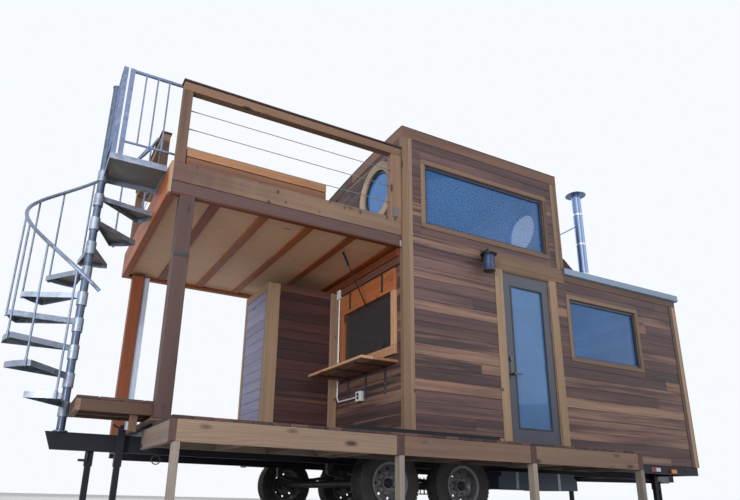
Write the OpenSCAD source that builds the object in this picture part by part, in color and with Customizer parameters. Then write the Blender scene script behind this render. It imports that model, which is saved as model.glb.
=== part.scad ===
/* [House] */
// Length of the tall part, from its porch corner to the low part
tall_len = 2350; // [2000:10:3200]
// Length of the low part
low_len = 2090; // [1500:10:3500]
// Width of the house and of the porch
house_w = 2590; // [2300:10:2900]
// Thickness of the outer walls
wall_t = 120; // [90:5:160]
// Height of the house floor above the ground
floor_z = 780; // [740:5:900]
// Thickness of the floor
floor_t = 60; // [40:5:80]
// Height of the tall roof's highest line above the house floor
tall_h = 3482; // [3300:10:3700]
// Height of the low roof's front line above the house floor
low_h = 2190; // [2150:10:2260]
// Radius of both arched roofs
roof_r = 14500; // [9000:500:20000]
// Thickness of a roof
roof_t = 80; // [60:5:120]
// How far the low roof reaches past the walls
low_reach = 44; // [30:2:80]
// How far the low roof reaches past its end wall
low_end_reach = 77; // [50:1:120]

/* [Trim] */
// Thickness of the trim boards
trim_t = 20; // [15:1:30]
// Width of the corner boards
corner_w = 136; // [90:2:160]
// Width of the tall part's right corner board
slim_corner_w = 95; // [70:1:120]
// Height of the boards under the tall roof
fascia_h = 136; // [100:2:160]
// Height of the belt board over the door
belt_h = 184; // [140:2:220]
// How far the belt board reaches left of the door
belt_reach = 243; // [150:1:400]
// Width of the boards beside the door
door_trim_w = 117; // [90:1:140]
// Width of the boards round a window
window_trim_w = 56; // [40:1:90]

/* [Door] */
// Distance from the porch corner to the door
door_x = 1358; // [1250:1:1360]
// Width of the door opening
door_w = 732; // [700:1:800]
// Height of the door opening above the floor
door_h = 1970; // [1900:5:2030]
// Thickness of the door leaf
leaf_t = 45; // [35:1:60]
// Gap round the door leaf
leaf_gap = 5; // [5:0.5:8]
// Extra gap at the leaf's free edge
latch_gap = 6; // [6:0.5:10]
// Width of the leaf's side and top rails
leaf_stile = 105; // [90:1:130]
// Height of the leaf's bottom rail
leaf_foot = 160; // [140:1:260]
// Radius of the hinge pins
pin_r = 7; // [5:0.5:9]
// Height of the handle above the floor
handle_h = 765; // [740:5:1000]

/* [Windows] */
// Left edge of the big window's opening from the porch corner
big_x = 284; // [200:1:400]
// Width of the big window's opening
big_w = 1816; // [1500:1:1850]
// Distance of the big window's head below the tall roof's front line
big_drop = 407; // [390:1:420]
// Height of the big window's opening
big_h = 747; // [500:1:760]
// Left edge of the low window's opening from the low part's start
low_win_x = 62; // [60:1:300]
// Width of the low window's opening
low_win_w = 1188; // [900:1:1250]
// Distance of the low window's head below the low roof's front line
low_win_drop = 381; // [370:1:460]
// Height of the low window's opening
low_win_h = 742; // [600:1:760]
// Distance of the round windows' centre from the front wall
round_y = 572; // [500:1:900]
// Distance of the round windows' centre below the tall roof's front line
round_drop = 592; // [560:1:600]
// Radius of the round windows' glass
round_r = 291; // [200:1:295]
// Width of the ring round a round window
round_trim_w = 105; // [60:1:110]
// Width of the window frames
frame_w = 32; // [20:1:50]
// Depth of the window frames
frame_d = 60; // [40:1:80]
// Thickness of the window glass
glass_t = 12; // [8:1:24]

/* [Serving window] */
// Distance of the serving window's board frame from the front wall
hatch_y = 130; // [121:1:160]
// Width of the serving window's board frame
hatch_w = 1258; // [1000:1:1290]
// Height of the board frame's lower edge above the floor
hatch_z = 840; // [830:1:900]
// Height of the board frame
hatch_h = 950; // [800:1:960]
// Thickness of the board frame
hatch_t = 40; // [25:1:50]
// Width of the board frame's side boards
hatch_side = 80; // [60:1:120]
// Height of the board frame's top board
hatch_top = 250; // [120:1:280]
// Height of the board frame's bottom board
hatch_foot = 95; // [70:1:130]
// How far the counter stands out from the wall
counter_d = 444; // [300:1:500]
// Length of the counter
counter_w = 1270; // [1000:1:1320]
// Thickness of the counter
counter_t = 30; // [24:1:45]
// Height of the counter's top above the floor
counter_z = 772; // [700:1:820]

/* [Closet] */
// Length of the closet from the house wall
closet_len = 946; // [800:1:1200]
// Distance of the closet's front from the front wall
closet_y = 1500; // [1450:1:1700]
// Depth of the closet
closet_d = 810; // [600:1:850]
// Height of the closet above the porch floor
closet_h = 1880; // [1800:1:1950]
// Thickness of the closet's walls
closet_t = 60; // [40:1:90]

/* [Porch and decks] */
// Length of the porch
porch_len = 2430; // [2200:10:2600]
// How far the porch floor lies below the house floor
porch_drop = 15; // [0:1:30]
// Depth of the front deck
deck_d = 730; // [600:10:900]
// Left end of the front deck from the porch corner
deck_left = 2415; // [2300:1:2430]
// Right end of the front deck from the porch corner
deck_right = 2454; // [2300:1:2800]
// Height of the front deck's boards above the ground
deck_z = 717; // [700:1:725]
// Thickness of the deck boards
board_t = 25; // [20:1:32]
// Height of the front deck's beams
deck_beam_h = 159; // [120:1:185]
// Thickness of the framing boards
beam_t = 38; // [35:1:45]
// Width of the deck's legs
leg_w = 75; // [63:1:100]
// Width of the porch posts
post_w = 135; // [100:1:150]

/* [Roof deck] */
// Length of the roof deck from the house wall
roof_deck_len = 2520; // [2450:1:2700]
// How far the roof deck reaches past the back wall
roof_deck_back = 60; // [50:1:120]
// Height of the roof deck's underside above the house floor
roof_deck_z = 1990; // [1950:1:2020]
// Height of the roof deck's edge beams
edge_beam_h = 323; // [280:1:340]
// Thickness of the roof deck's edge beams
edge_beam_t = 76; // [60:1:100]
// Width of a joist
joist_w = 38; // [35:1:60]
// Height of a joist
joist_h = 154; // [140:1:160]
// Width of the battens under the porch ceiling
batten_w = 89; // [60:1:100]
// How far the battens lie above the beams' underside
batten_lift = 20; // [10:1:30]
// Height of the railing above the deck
rail_h = 901; // [850:1:1000]
// Height of the railing's top rail
rail_bar_h = 113; // [80:1:120]
// Width of the railing's posts
rail_post_w = 89; // [80:1:100]
// Radius of the railing's cables
cable_r = 4; // [3:0.5:6]
// Distance between the railing's cables
cable_step = 201; // [150:1:220]
// Length of the planter
planter_len = 1450; // [1000:1:1600]
// Height of the planter
planter_h = 177; // [150:1:180]
// Depth of the planter
planter_d = 280; // [200:1:400]

/* [Stair] */
// Distance of the stair's pole from the porch corner
pole_x = 3041; // [3000:1:3150]
// Distance of the stair's pole from the front wall
pole_y = 630; // [600:1:700]
// Radius of the stair's pole
pole_r = 35; // [30:1:40]
// Radius of the stair to the ends of its treads
tread_r = 563; // [500:1:570]
// Number of treads
treads = 9; // [9:1:9]
// Height of one step
riser = 246.5; // [240:0.5:246.5]
// Turn from one tread to the next
tread_turn = 27.7; // [26:0.1:30]
// Turn of the first tread below the landing
tread_start = 27.5; // [20:0.5:40]
// Angle that one tread covers
tread_angle = 29; // [26:0.5:32]
// Height of the landing above the roof deck's edge beams
landing_lift = 34; // [20:1:60]
// Thickness of the tread and landing plates
plate_t = 6; // [4:1:8]
// Depth of the folded edges of treads and landing
fold = 48; // [35:1:60]
// Radius of the hubs round the pole
hub_r = 45; // [42:1:50]
// Height of the hubs
hub_h = 120; // [80:1:160]
// Height of the landing's guard
guard_h = 940; // [880:5:980]
// Radius of the stair's balusters
bar_r = 9; // [7:0.5:12]
// Radius of the stair's handrail
hand_r = 17; // [12:0.5:20]

/* [Trailer] */
// Radius of the tyres
tyre_r = 330; // [320:1:345]
// Width of the tyres
tyre_w = 205; // [180:1:210]
// Radius of the wheel rims
rim_r = 192; // [180:1:200]
// Distance between the two axles
axle_step = 850; // [840:1:900]
// Middle of the two axles from the porch corner
axle_x = 220; // [150:1:260]
// Radius of the axle tubes
axle_r = 38; // [30:1:42]
// Height of the main rails' underside above the ground
rail_z = 515; // [500:1:530]
// Height of the main rails
main_rail_h = 145; // [120:1:145]
// Width of the main rails
main_rail_w = 60; // [50:1:70]
// Length of the hitch past the end wall
hitch_len = 1250; // [1000:10:1500]
// Height and width of the rails under the long walls
side_rail_h = 100; // [80:5:120]
side_rail_w = 60; // [50:1:70]
// Width of the cross members
cross_w = 50; // [40:1:60]
// Width of the jacks' posts
jack_w = 64; // [50:2:70]
// Length of the water tank
tank_len = 1200; // [800:10:1400]
// Width of the water tank
tank_w = 560; // [400:10:600]
// How far the fenders stand out from the walls
fender_out = 90; // [80:1:110]
// Height of the fenders' top above the house floor
fender_up = 50; // [45:1:60]
// Length of a fender
fender_len = 1960; // [1900:10:2000]

/* [Chimney] */
// Distance of the chimney from the tall part's right wall
flue_reach = 754; // [720:1:950]
// Distance of the chimney from the front wall
flue_y = 300; // [250:1:500]
// Radius of the chimney pipe
flue_r = 62; // [50:1:75]
// Height of the chimney's cap above the low roof
flue_h = 1390; // [1200:1:1500]

/* [Hidden] */

// Heights above the ground
rail_top = rail_z + main_rail_h;
frame_top = floor_z - floor_t;
porch_z = floor_z - porch_drop;
tall_top = floor_z + tall_h;
low_top = floor_z + low_h;
door_top = floor_z + door_h;
belt_z = door_top + trim_t;
belt_top = belt_z + belt_h;
fender_top = floor_z + fender_up;
big_head = tall_top - big_drop;
big_sill = big_head - big_h;
low_win_head = low_top - low_win_drop;
low_win_sill = low_win_head - low_win_h;
round_z = tall_top - round_drop;
deck_under = floor_z + roof_deck_z;
deck_top = deck_under + edge_beam_h;
deck_floor_z = deck_top - 8;
batten_z = deck_under + batten_lift;
ceiling_z = batten_z + 19;
joist_z = ceiling_z + 12;
landing_z = deck_top + landing_lift;
step_z = landing_z - treads * riser + 8;
rail_end_z = deck_top + rail_h;
// Lengths along and across the house
total_len = tall_len + low_len;
flue_x = tall_len + flue_reach;
deck_back = house_w + roof_deck_back;
fender_x = axle_x - fender_len / 2;
fender_end = fender_x + fender_len;
fender_t = 5;
left_x = axle_x - axle_step / 2;
right_x = axle_x + axle_step / 2;
wheel_y = tyre_w / 2 - 60;
well_y = tyre_w - 60 + 25;
well_gap = 5;
spindle_r = 16;
run_gap = 0.08;
seat_gap = 0.3;
near_rail_y = pole_y;
far_rail_y = house_w - pole_y;
frame_x = -deck_left + beam_t;
rail_post_x = -roof_deck_len + 33;
door_end = door_x + door_w;
leaf_x = door_x + leaf_gap + latch_gap;
leaf_end = door_end - leaf_gap;
leaf_y = 2;
leaf_z = floor_z + leaf_gap + 1;
leaf_top = door_top - leaf_gap;
knuckle_r = pin_r + 5;
hinge_x = door_end - knuckle_r - 1;
hinge_y = leaf_y + leaf_t + knuckle_r + 3;
// The frame's origin lies under the middle of the whole
span_lo = -pole_x - tread_r - bar_r - hand_r;
span_hi = total_len + hitch_len + 50;
centre_x = (span_lo + span_hi) / 2;
centre_y = (house_w + fender_out - deck_d) / 2;
arch_step = 130;

// Shapes that many pieces share
module place() translate([-centre_x, -centre_y, 0]) children();

module block(x0, x1, y0, y1, z0, z1) translate([x0, y0, z0]) cube([x1 - x0, y1 - y0, z1 - z0]);

// Lies along Y from y0 to y1
module rod_y(x, z, y0, y1, r) translate([x, y0, z]) rotate([-90, 0, 0]) cylinder(h = y1 - y0, r = r,
    $fn = 32);

// Lies along X from x0 to x1
module rod_x(y, z, x0, x1, r) translate([x0, y, z]) rotate([0, 90, 0]) cylinder(h = x1 - x0, r = r,
    $fn = 32);

// Draws a profile of Y and Z out along X
module along_x(x0, x1) translate([x0, 0, 0]) rotate([90, 0, 90]) linear_extrude(x1 - x0) children();

// Height of an arched surface, in straight runs between knots that all its pieces share
function knot_z(top, k, drop) = top - roof_r + sqrt(pow(roof_r - drop, 2) - pow(k * arch_step, 2));
function arch_z(top, y, drop = 0) = let (k = floor(y / arch_step), t = y / arch_step - k)
    knot_z(top, k, drop) * (1 - t) + knot_z(top, k + 1, drop) * t;
function under_z(top, y) = arch_z(top, y, roof_t) - seat_gap;
function arch_line(y0, y1, top, drop) = concat(
    [[y0, arch_z(top, y0, drop)]],
    [for (k = [floor(y0 / arch_step) + 1 : ceil(y1 / arch_step) - 1]) [k * arch_step, knot_z(top, k,
        drop)]],
    [[y1, arch_z(top, y1, drop)]]
);
function backwards(list) = [for (i = [len(list) - 1 : -1 : 0]) list[i]];

// The part of a wall under an arched roof
module under_arch(x0, x1, y0, y1, z0, top, drop = roof_t + seat_gap)
    along_x(x0, x1) polygon(concat([[y1, z0], [y0, z0]], arch_line(y0, y1, top, drop)));

// A bent board or slab that follows the arch
module arch_slab(x0, x1, y0, y1, top, drop0, drop1)
    along_x(x0, x1) polygon(concat(backwards(arch_line(y0, y1, top, drop1)), arch_line(y0, y1, top,
        drop0)));

// A frame of boards round an opening in the plane of X and Z
module frame_xz(x0, x1, z0, z1, y0, y1, w) {
    difference() {
        block(x0 - w, x1 + w, y0, y1, z0 - w, z1 + w);
        block(x0, x1, y0 - 1, y1 + 1, z0, z1);
    }
}

// The other long side of the house
module other_side() translate([0, house_w, 0]) mirror([0, 1, 0]) children();

module both_sides() {
    children();
    other_side() children();
}

// Trailer
hitch_x = total_len + hitch_len;
ball_r = 30;
ball_depth = 40;
coupler_len = 120;
coupler_w = 90;
coupler_up = 20;
arm_w = 68;
arm_gap = 4;
tongue_jack_r = 28;
tongue_jack_x = hitch_x - 280;
tongue_plate_w = 260;
tongue_plate_t = 12;
cross_n = 11;
outrigger_h = 60;
cross_step = (total_len - wall_t - side_rail_w - frame_x) / cross_n;
rail_tip_x = -pole_x - 115;
rail_tip_cut = 55;
near_rail_side = near_rail_y - main_rail_w / 2;

function in_wells(x) = x + cross_w > fender_x - well_gap && x < fender_end + well_gap;

module main_rails() color("#2b2e35") place() {
    end = total_len - side_rail_w;
    // The near rail reaches out to carry the stair and is cut at a slant
    translate([0, near_rail_side + main_rail_w, 0]) rotate([90, 0, 0]) linear_extrude(main_rail_w)
        polygon([[rail_tip_x, rail_top], [rail_tip_x + rail_tip_cut, rail_z], [end, rail_z], [end,
            rail_top]]);
    block(frame_x, end, far_rail_y - main_rail_w / 2, far_rail_y + main_rail_w / 2, rail_z, rail_top);
}

module side_rails() color("#2b2e35") place() both_sides() {
    block(frame_x, fender_x - well_gap, 0, side_rail_w, rail_top - side_rail_h, rail_top);
    block(fender_end + well_gap, total_len, 0, side_rail_w, rail_top - side_rail_h, rail_top);
    // Outriggers carry them from the main rails
    for (i = [0:cross_n]) {
        x = frame_x + i * cross_step;
        if (!in_wells(x)) block(x, x + cross_w, side_rail_w + seat_gap, near_rail_side,
            rail_top - outrigger_h, rail_top);
    }
}

module cross_members() color("#2b2e35") place() {
    for (i = [0:cross_n]) {
        x = frame_x + i * cross_step;
        side = in_wells(x) ? well_y : x < 0 ? 0 : wall_t;
        block(x, x + cross_w, side, house_w - side, rail_top, frame_top);
    }
    block(total_len - side_rail_w, total_len, side_rail_w, house_w - side_rail_w, rail_top - side_rail_h,
        rail_top);
}

module hitch_arms() color("#2b2e35") place() both_sides() translate([0, 0, rail_z])
    linear_extrude(main_rail_h) polygon([
    [total_len, near_rail_side],
    [hitch_x - coupler_len, (house_w - arm_gap) / 2 - arm_w],
    [hitch_x - coupler_len, (house_w - arm_gap) / 2],
    [total_len, near_rail_side + arm_w]
]);

// The coupler with its ball socket, and the plate for the tongue jack
module coupler() color("#2b2e35") place() translate([0, house_w / 2, 0]) {
    difference() {
        union() {
            block(hitch_x - coupler_len, hitch_x, -coupler_w / 2, coupler_w / 2, rail_z + coupler_up,
                rail_top);
            translate([hitch_x, 0, rail_z + coupler_up])
                cylinder(h = main_rail_h - coupler_up, r = coupler_w / 2 + 5, $fn = 64);
        }
        translate([hitch_x, 0, rail_z]) cylinder(h = coupler_up + ball_depth, r = ball_r, $fn = 64);
    }
    difference() {
        translate([tongue_jack_x - 60, -tongue_plate_w / 2, rail_top]) cube([120, tongue_plate_w,
            tongue_plate_t]);
        translate([tongue_jack_x, 0, rail_top - 1]) cylinder(h = tongue_plate_t + 2,
            r = tongue_jack_r + seat_gap, $fn = 32);
    }
}

spring_r = 1250;
spring_len = 330;
spring_t = 36;
spring_w = 60;
hanger_x = 305;
hanger_w = 60;
hanger_z = 440;
flange_t = 6;
spindle_len = 55;

module leaf_spring(x, y) {
    translate([x, y + spring_w / 2, tyre_r + axle_r + spring_r]) rotate([90, 0, 0]) linear_extrude(spring_w)
        intersection() {
            difference() {
                circle(spring_r, $fn = 180);
                circle(spring_r - spring_t, $fn = 180);
            }
            translate([-spring_len, -spring_r]) square([2 * spring_len, spring_r / 6]);
        }
    for (side = [-1, 1]) translate([x + side * hanger_x - hanger_w / 2, y - spring_w / 2, hanger_z])
        cube([hanger_w, spring_w, rail_z - hanger_z]);
}

module axles() color("#1d1f23") place() for (x = [left_x, right_x]) {
    tube_y = wheel_y + tyre_w / 2 + 30;
    rod_y(x, tyre_r, tube_y, house_w - tube_y, axle_r);
    both_sides() {
        rod_y(x, tyre_r, wheel_y - spindle_len, tube_y, spindle_r);
        rod_y(x, tyre_r, wheel_y - spindle_len - flange_t, wheel_y - spindle_len, spindle_r + 10);
        leaf_spring(x, near_rail_y);
    }
}

fender_corner = 190;
fender_low = rail_top - 130;
fender_border = 70;

module fender_outline(inset) intersection() {
    translate([fender_x, fender_low]) square([fender_len, fender_corner * 3]);
    union() {
        translate([fender_x + inset, fender_low]) square([fender_len - 2 * inset,
            fender_top - fender_low - fender_corner]);
        translate([fender_x + fender_corner, fender_low])
            square([fender_len - 2 * fender_corner, fender_top - fender_low - inset]);
        for (x = [fender_x + fender_corner, fender_end - fender_corner])
            translate([x, fender_top - fender_corner]) circle(fender_corner - inset, $fn = 64);
    }
}

module fender_sheet(y0, y1, inset) {
    translate([0, y1, 0]) rotate([90, 0, 0]) linear_extrude(y1 - y0) difference() {
        fender_outline(0);
        if (inset > 0) translate([0, -1]) fender_outline(inset);
    }
}

module fenders() color("#17181b") place() both_sides() {
    fender_sheet(-fender_out + fender_t + seat_gap, well_y - fender_t - seat_gap, fender_t);
    fender_sheet(-fender_out, -fender_out + fender_t, fender_border);
    fender_sheet(well_y - fender_t, well_y, 0);
}

jack_side = jack_w / 2 + main_rail_w / 2;
jack_inner_w = jack_w - 14;
jack_drop = 120;
foot_w = 140;
foot_t = 12;
stair_jack_x = -pole_x + 481;
second_jack_x = stair_jack_x - 220;
end_jack_x = total_len - side_rail_w - jack_w / 2 - well_gap;

module jack(x, y, up) translate([x, y, 0]) {
    block(-jack_w / 2, jack_w / 2, -jack_w / 2, jack_w / 2, rail_z - jack_drop, up);
    block(-jack_inner_w / 2, jack_inner_w / 2, -jack_inner_w / 2, jack_inner_w / 2, foot_t,
        rail_z - jack_drop);
    block(-foot_w / 2, foot_w / 2, -foot_w / 2, foot_w / 2, 0, foot_t);
}

module jacks() color("#1b1c20") place() {
    jack(stair_jack_x, near_rail_y - jack_side, rail_top + 45);
    jack(second_jack_x, near_rail_y + jack_side, rail_top);
    both_sides() jack(end_jack_x, near_rail_y - jack_side, rail_top);
    translate([tongue_jack_x, house_w / 2, 0]) {
        cylinder(h = foot_t, r = foot_w / 2 + 10, $fn = 32);
        translate([0, 0, foot_t]) cylinder(h = rail_top + 300, r = tongue_jack_r, $fn = 32);
    }
}

tank_z = 330;
tank_lip_h = 130;
tank_lip = 40;
tank_y = 340;
tank_x = fender_end + 240;

module water_tank() color("#5d6a75") place() {
    block(tank_x, tank_x + tank_len, tank_y, tank_y + tank_w, tank_z, tank_z + tank_lip_h);
    block(tank_x + tank_lip, tank_x + tank_len - tank_lip, tank_y, tank_y + tank_w, tank_z + tank_lip_h,
        rail_z);
}

// Wheels
bead_r = rim_r - 16;
bead_w = 88;
boss_r = 58;
vent_ring_r = 133;
vent_r = 13;

module at_wheel(x, far) place() translate([x, far ? house_w - wheel_y : wheel_y, tyre_r])
    mirror([0, far ? 1 : 0, 0]) rotate([90, 0, 0]) children();

module rim(x, far) color("#8d9196") at_wheel(x, far) difference() {
    rotate_extrude($fn = 96) polygon([
        [bead_r - 8, -bead_w], [rim_r, -bead_w - 6], [rim_r, -bead_w], [bead_r, -bead_w + 6],
        [bead_r, bead_w - 6], [rim_r, bead_w], [rim_r, bead_w + 6], [bead_r - 8, bead_w],
        [bead_r - 8, 30], [120, 46], [100, 22], [boss_r, 22], [boss_r, 50], [spindle_r + run_gap, 50],
        [spindle_r + run_gap, -40], [boss_r, -40], [boss_r, 14], [104, 14], [122, 36], [bead_r - 8, 20]
    ]);
    for (a = [0:45:315]) rotate([0, 0, a]) translate([vent_ring_r, 0, 0]) cylinder(h = bead_w,
        r = vent_r, $fn = 24);
}

module tyre(x, far) color("#232426") at_wheel(x, far) rotate_extrude($fn = 96) polygon([
    [bead_r, -bead_w + 6], [rim_r, -bead_w], [rim_r + 20, -tyre_w / 2 + 4], [tyre_r - 75, -tyre_w / 2],
    [tyre_r - 22, -tyre_w / 2 + 10], [tyre_r - 4, -tyre_w / 2 + 24], [tyre_r, -tyre_w / 2 + 40],
    [tyre_r, -32], [tyre_r - 8, -32], [tyre_r - 8, -24], [tyre_r, -24],
    [tyre_r, 24], [tyre_r - 8, 24], [tyre_r - 8, 32], [tyre_r, 32],
    [tyre_r, tyre_w / 2 - 40], [tyre_r - 4, tyre_w / 2 - 24], [tyre_r - 22, tyre_w / 2 - 10],
    [tyre_r - 75, tyre_w / 2], [rim_r + 20, tyre_w / 2 - 4], [rim_r, bead_w], [bead_r, bead_w - 6]
]);

module rim_front_left() rim(left_x, false);
module rim_front_right() rim(right_x, false);
module rim_back_left() rim(left_x, true);
module rim_back_right() rim(right_x, true);
module tyre_front_left() tyre(left_x, false);
module tyre_front_right() tyre(right_x, false);
module tyre_back_left() tyre(left_x, true);
module tyre_back_right() tyre(right_x, true);

// Spiral stair
module at_pole() place() translate([-pole_x, pole_y, 0]) children();

pole_over_guard = 20;
pole_top = landing_z + guard_h + pole_over_guard;
pole_cap_t = 12;
base_r = 60;
base_t = 10;

module stair_pole() color("#9aa1a8") at_pole() {
    translate([0, 0, rail_top]) cylinder(h = base_t, r = base_r, $fn = 48);
    translate([0, 0, rail_top + base_t]) cylinder(h = pole_top - rail_top - base_t, r = pole_r, $fn = 48);
    translate([0, 0, pole_top]) cylinder(h = pole_cap_t, r = pole_r + 6, $fn = 48);
}

module wedge(r, a) intersection() {
    circle(r, $fn = 96);
    polygon([[0, 0], [2 * r, -2 * r * tan(a / 2)], [2 * r, 2 * r * tan(a / 2)]]);
}

module tread() difference() {
    union() {
        translate([0, 0, -plate_t]) linear_extrude(plate_t) wedge(tread_r, tread_angle);
        translate([0, 0, -fold]) linear_extrude(fold) difference() {
            wedge(tread_r, tread_angle);
            translate([2 * plate_t, 0]) wedge(tread_r - 3 * plate_t, tread_angle);
        }
        translate([0, 0, -hub_h]) cylinder(h = hub_h, r = hub_r, $fn = 48);
    }
    translate([0, 0, -hub_h - 1]) cylinder(h = hub_h + 2, r = pole_r + seat_gap, $fn = 48);
}

module stair_treads() color("#8f979f") difference() {
    at_pole() for (i = [1:treads])
        translate([0, 0, landing_z - i * riser]) rotate([0, 0, tread_start + (i - 1) * tread_turn]) tread();
    // The top tread is cut back beside the roof deck's beam
    place() block(-roof_deck_len - well_gap, 0, 0, deck_back, deck_under - riser, deck_top);
}

// The handrail winds down with the treads, a little less steep than they do
hand_start = 27.5;
hand_end = 279;
hand_top = deck_top + 720;
hand_drop = 8.15;
hand_rings = 40;
hand_sides = 8;
hand_path_r = tread_r + bar_r;

function hand_z(a) = hand_top - (a - hand_start) * hand_drop;
function hand_point(a, b) = let (
        slope = atan2(hand_drop * 180 / PI, hand_path_r),
        r = hand_path_r + hand_r * cos(b),
        up = hand_r * sin(b) * cos(slope),
        on = hand_r * sin(b) * sin(slope)
    ) [r * cos(a) - on * sin(a), r * sin(a) + on * cos(a), hand_z(a) + up];

module handrail() {
    points = [for (i = [0:hand_rings]) for (j = [0:hand_sides - 1])
        hand_point(hand_start + (hand_end - hand_start) * i / hand_rings, j * 360 / hand_sides)];
    ring = hand_sides;
    sides = [for (i = [0:hand_rings - 1]) for (j = [0:ring - 1])
        [i * ring + j, i * ring + (j + 1) % ring, (i + 1) * ring + (j + 1) % ring, (i + 1) * ring + j]];
    ends = [[for (j = [0:ring - 1]) ring - 1 - j], [for (j = [0:ring - 1]) hand_rings * ring + j]];
    polyhedron(points, concat(ends, sides));
}

module stair_railing() color("#a2a9b0") at_pole() {
    handrail();
    for (i = [1:treads]) {
        a = tread_start + (i - 1) * tread_turn + tread_angle / 2 - 4;
        foot = landing_z - i * riser - fold;
        rotate([0, 0, a]) translate([hand_path_r, 0, foot]) cylinder(h = hand_z(a) - foot, r = bar_r,
            $fn = 16);
    }
}

landing_y = 194;
landing_end_y = 728;
landing_x = -pole_x + 5;
landing_end_x = -roof_deck_len;
landing_h = 60;
landing_hub_h = 110;

module stair_landing() color("#8f979f") place() difference() {
    union() {
        difference() {
            block(landing_x, landing_end_x, landing_y, landing_end_y, landing_z - landing_h, landing_z);
            block(landing_x + plate_t, landing_end_x - plate_t, landing_y + plate_t,
                landing_end_y - plate_t,
                landing_z - landing_h - 1, landing_z - plate_t);
        }
        translate([-pole_x, pole_y, landing_z - landing_hub_h]) cylinder(h = landing_hub_h, r = hub_r,
            $fn = 48);
    }
    translate([-pole_x, pole_y, landing_z - landing_hub_h - 1])
        cylinder(h = landing_hub_h + 2, r = pole_r + seat_gap, $fn = 48);
}

guard_lift = 140;
guard_top = landing_z + guard_h;
guard_foot = landing_z + guard_lift;
guard_post_w = 45;
guard_gap = 17;
guard_post_x = landing_x + guard_post_w + guard_gap;
guard_t = 8;
guard_rail_h = 24;
guard_low_h = 16;
guard_bar = 14;
guard_y = landing_y + guard_t;
guard_bar_foot = guard_foot + guard_low_h;
guard_bar_top = guard_top - guard_rail_h;
guard_past_post = 70;
guard_end_x = rail_post_x + guard_past_post;
guard_bar_step = (rail_post_x - guard_post_x - guard_post_w) / 4;
guard_end_y = pole_y - pole_r;
guard_end_step = 110;
guard_end_start = 40;
guard_brace_run = 75;
guard_brace_x = landing_x + 0.455 * (landing_end_x - landing_x);

module landing_guard() color("#8a93a3") place() {
    for (x = [landing_x, guard_post_x]) block(x, x + guard_post_w, landing_y, guard_y, landing_z,
        guard_top);
    // The run beside the landing's front, which ends on a bar behind the roof deck's corner post
    block(guard_post_x, guard_end_x, guard_y, guard_y + guard_rail_h, guard_bar_top, guard_top);
    block(guard_post_x, guard_end_x, guard_y, guard_y + 2 * guard_t, guard_foot, guard_bar_foot);
    block(guard_end_x - guard_bar, guard_end_x, guard_y, guard_y + guard_bar, deck_floor_z, guard_bar_top);
    for (i = [1:3]) {
        x = guard_post_x + guard_post_w + i * guard_bar_step;
        block(x - guard_bar / 2, x + guard_bar / 2, guard_y, guard_y + guard_bar, guard_bar_foot,
            guard_bar_top);
    }
    // A slanting tie from the landing to the low rail
    translate([guard_brace_x, guard_y + guard_t, landing_z]) rotate([90, 0, 0]) linear_extrude(guard_t)
        polygon([[0, 0], [guard_bar, 0], [guard_bar + guard_brace_run, guard_lift], [guard_brace_run,
            guard_lift]]);
    // The run from the front corner to the pole
    block(landing_x, landing_x + guard_t, guard_y, guard_end_y, guard_bar_top, guard_top);
    block(landing_x, landing_x + guard_t, guard_y, guard_end_y, guard_foot, guard_bar_foot);
    for (i = [1:3]) {
        y = landing_y + guard_end_start + i * guard_end_step;
        block(landing_x, landing_x + guard_t, y, y + guard_bar, guard_bar_foot, guard_bar_top);
    }
}

step_x = -pole_x + hub_r + 6;
step_y = post_w + 6;
step_end_y = 730;
step_end_x = -porch_len + 130;
step_frame_top = step_z - board_t - seat_gap;
step_block_w = 60;
step_leg_x = -porch_len + beam_t;

module landing_step() color("#8a5a34") place() {
    block(step_x, step_end_x, step_y, step_end_y, step_z - board_t, step_z);
    for (x = [step_x, step_end_x - beam_t]) block(x, x + beam_t, step_y, step_end_y, porch_z,
        step_frame_top);
    for (y = [step_y, step_end_y - beam_t])
        block(step_x + beam_t + seat_gap, step_end_x - beam_t - seat_gap, y, y + beam_t, porch_z,
            step_frame_top);
    for (y = [step_y + beam_t + seat_gap, step_end_y - beam_t - leg_w - seat_gap])
        block(step_leg_x, step_leg_x + leg_w, y, y + leg_w, porch_z, step_frame_top);
    translate([step_x + beam_t + seat_gap, near_rail_y - step_block_w / 2, rail_top])
        cube([step_block_w, step_block_w, step_frame_top - rail_top]);
}

// Porch and front deck
module wells(x1, low) both_sides()
    block(fender_x - well_gap, x1, -fender_out - 100, well_y + well_gap, low, low + 300);

module porch_floor() color("#7b4f2f") place() difference() {
    block(-porch_len, 0, 0, house_w, frame_top, porch_z);
    wells(1, frame_top - 10);
}

leg_xs = [-deck_left, -560, 905, deck_right - leg_w];
deck_low = deck_z - board_t - deck_beam_h;
deck_under_boards = deck_z - board_t;
fender_room = 10;
trimmer_xs = [fender_x - fender_room - beam_t, fender_end + fender_room];
header_y = -fender_out - fender_room - beam_t;
deck_side_end_y = 380;

module deck_joist(x, y1) block(x, x + beam_t, -deck_d + beam_t + seat_gap, y1 - seat_gap, deck_low,
    deck_under_boards);

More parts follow.
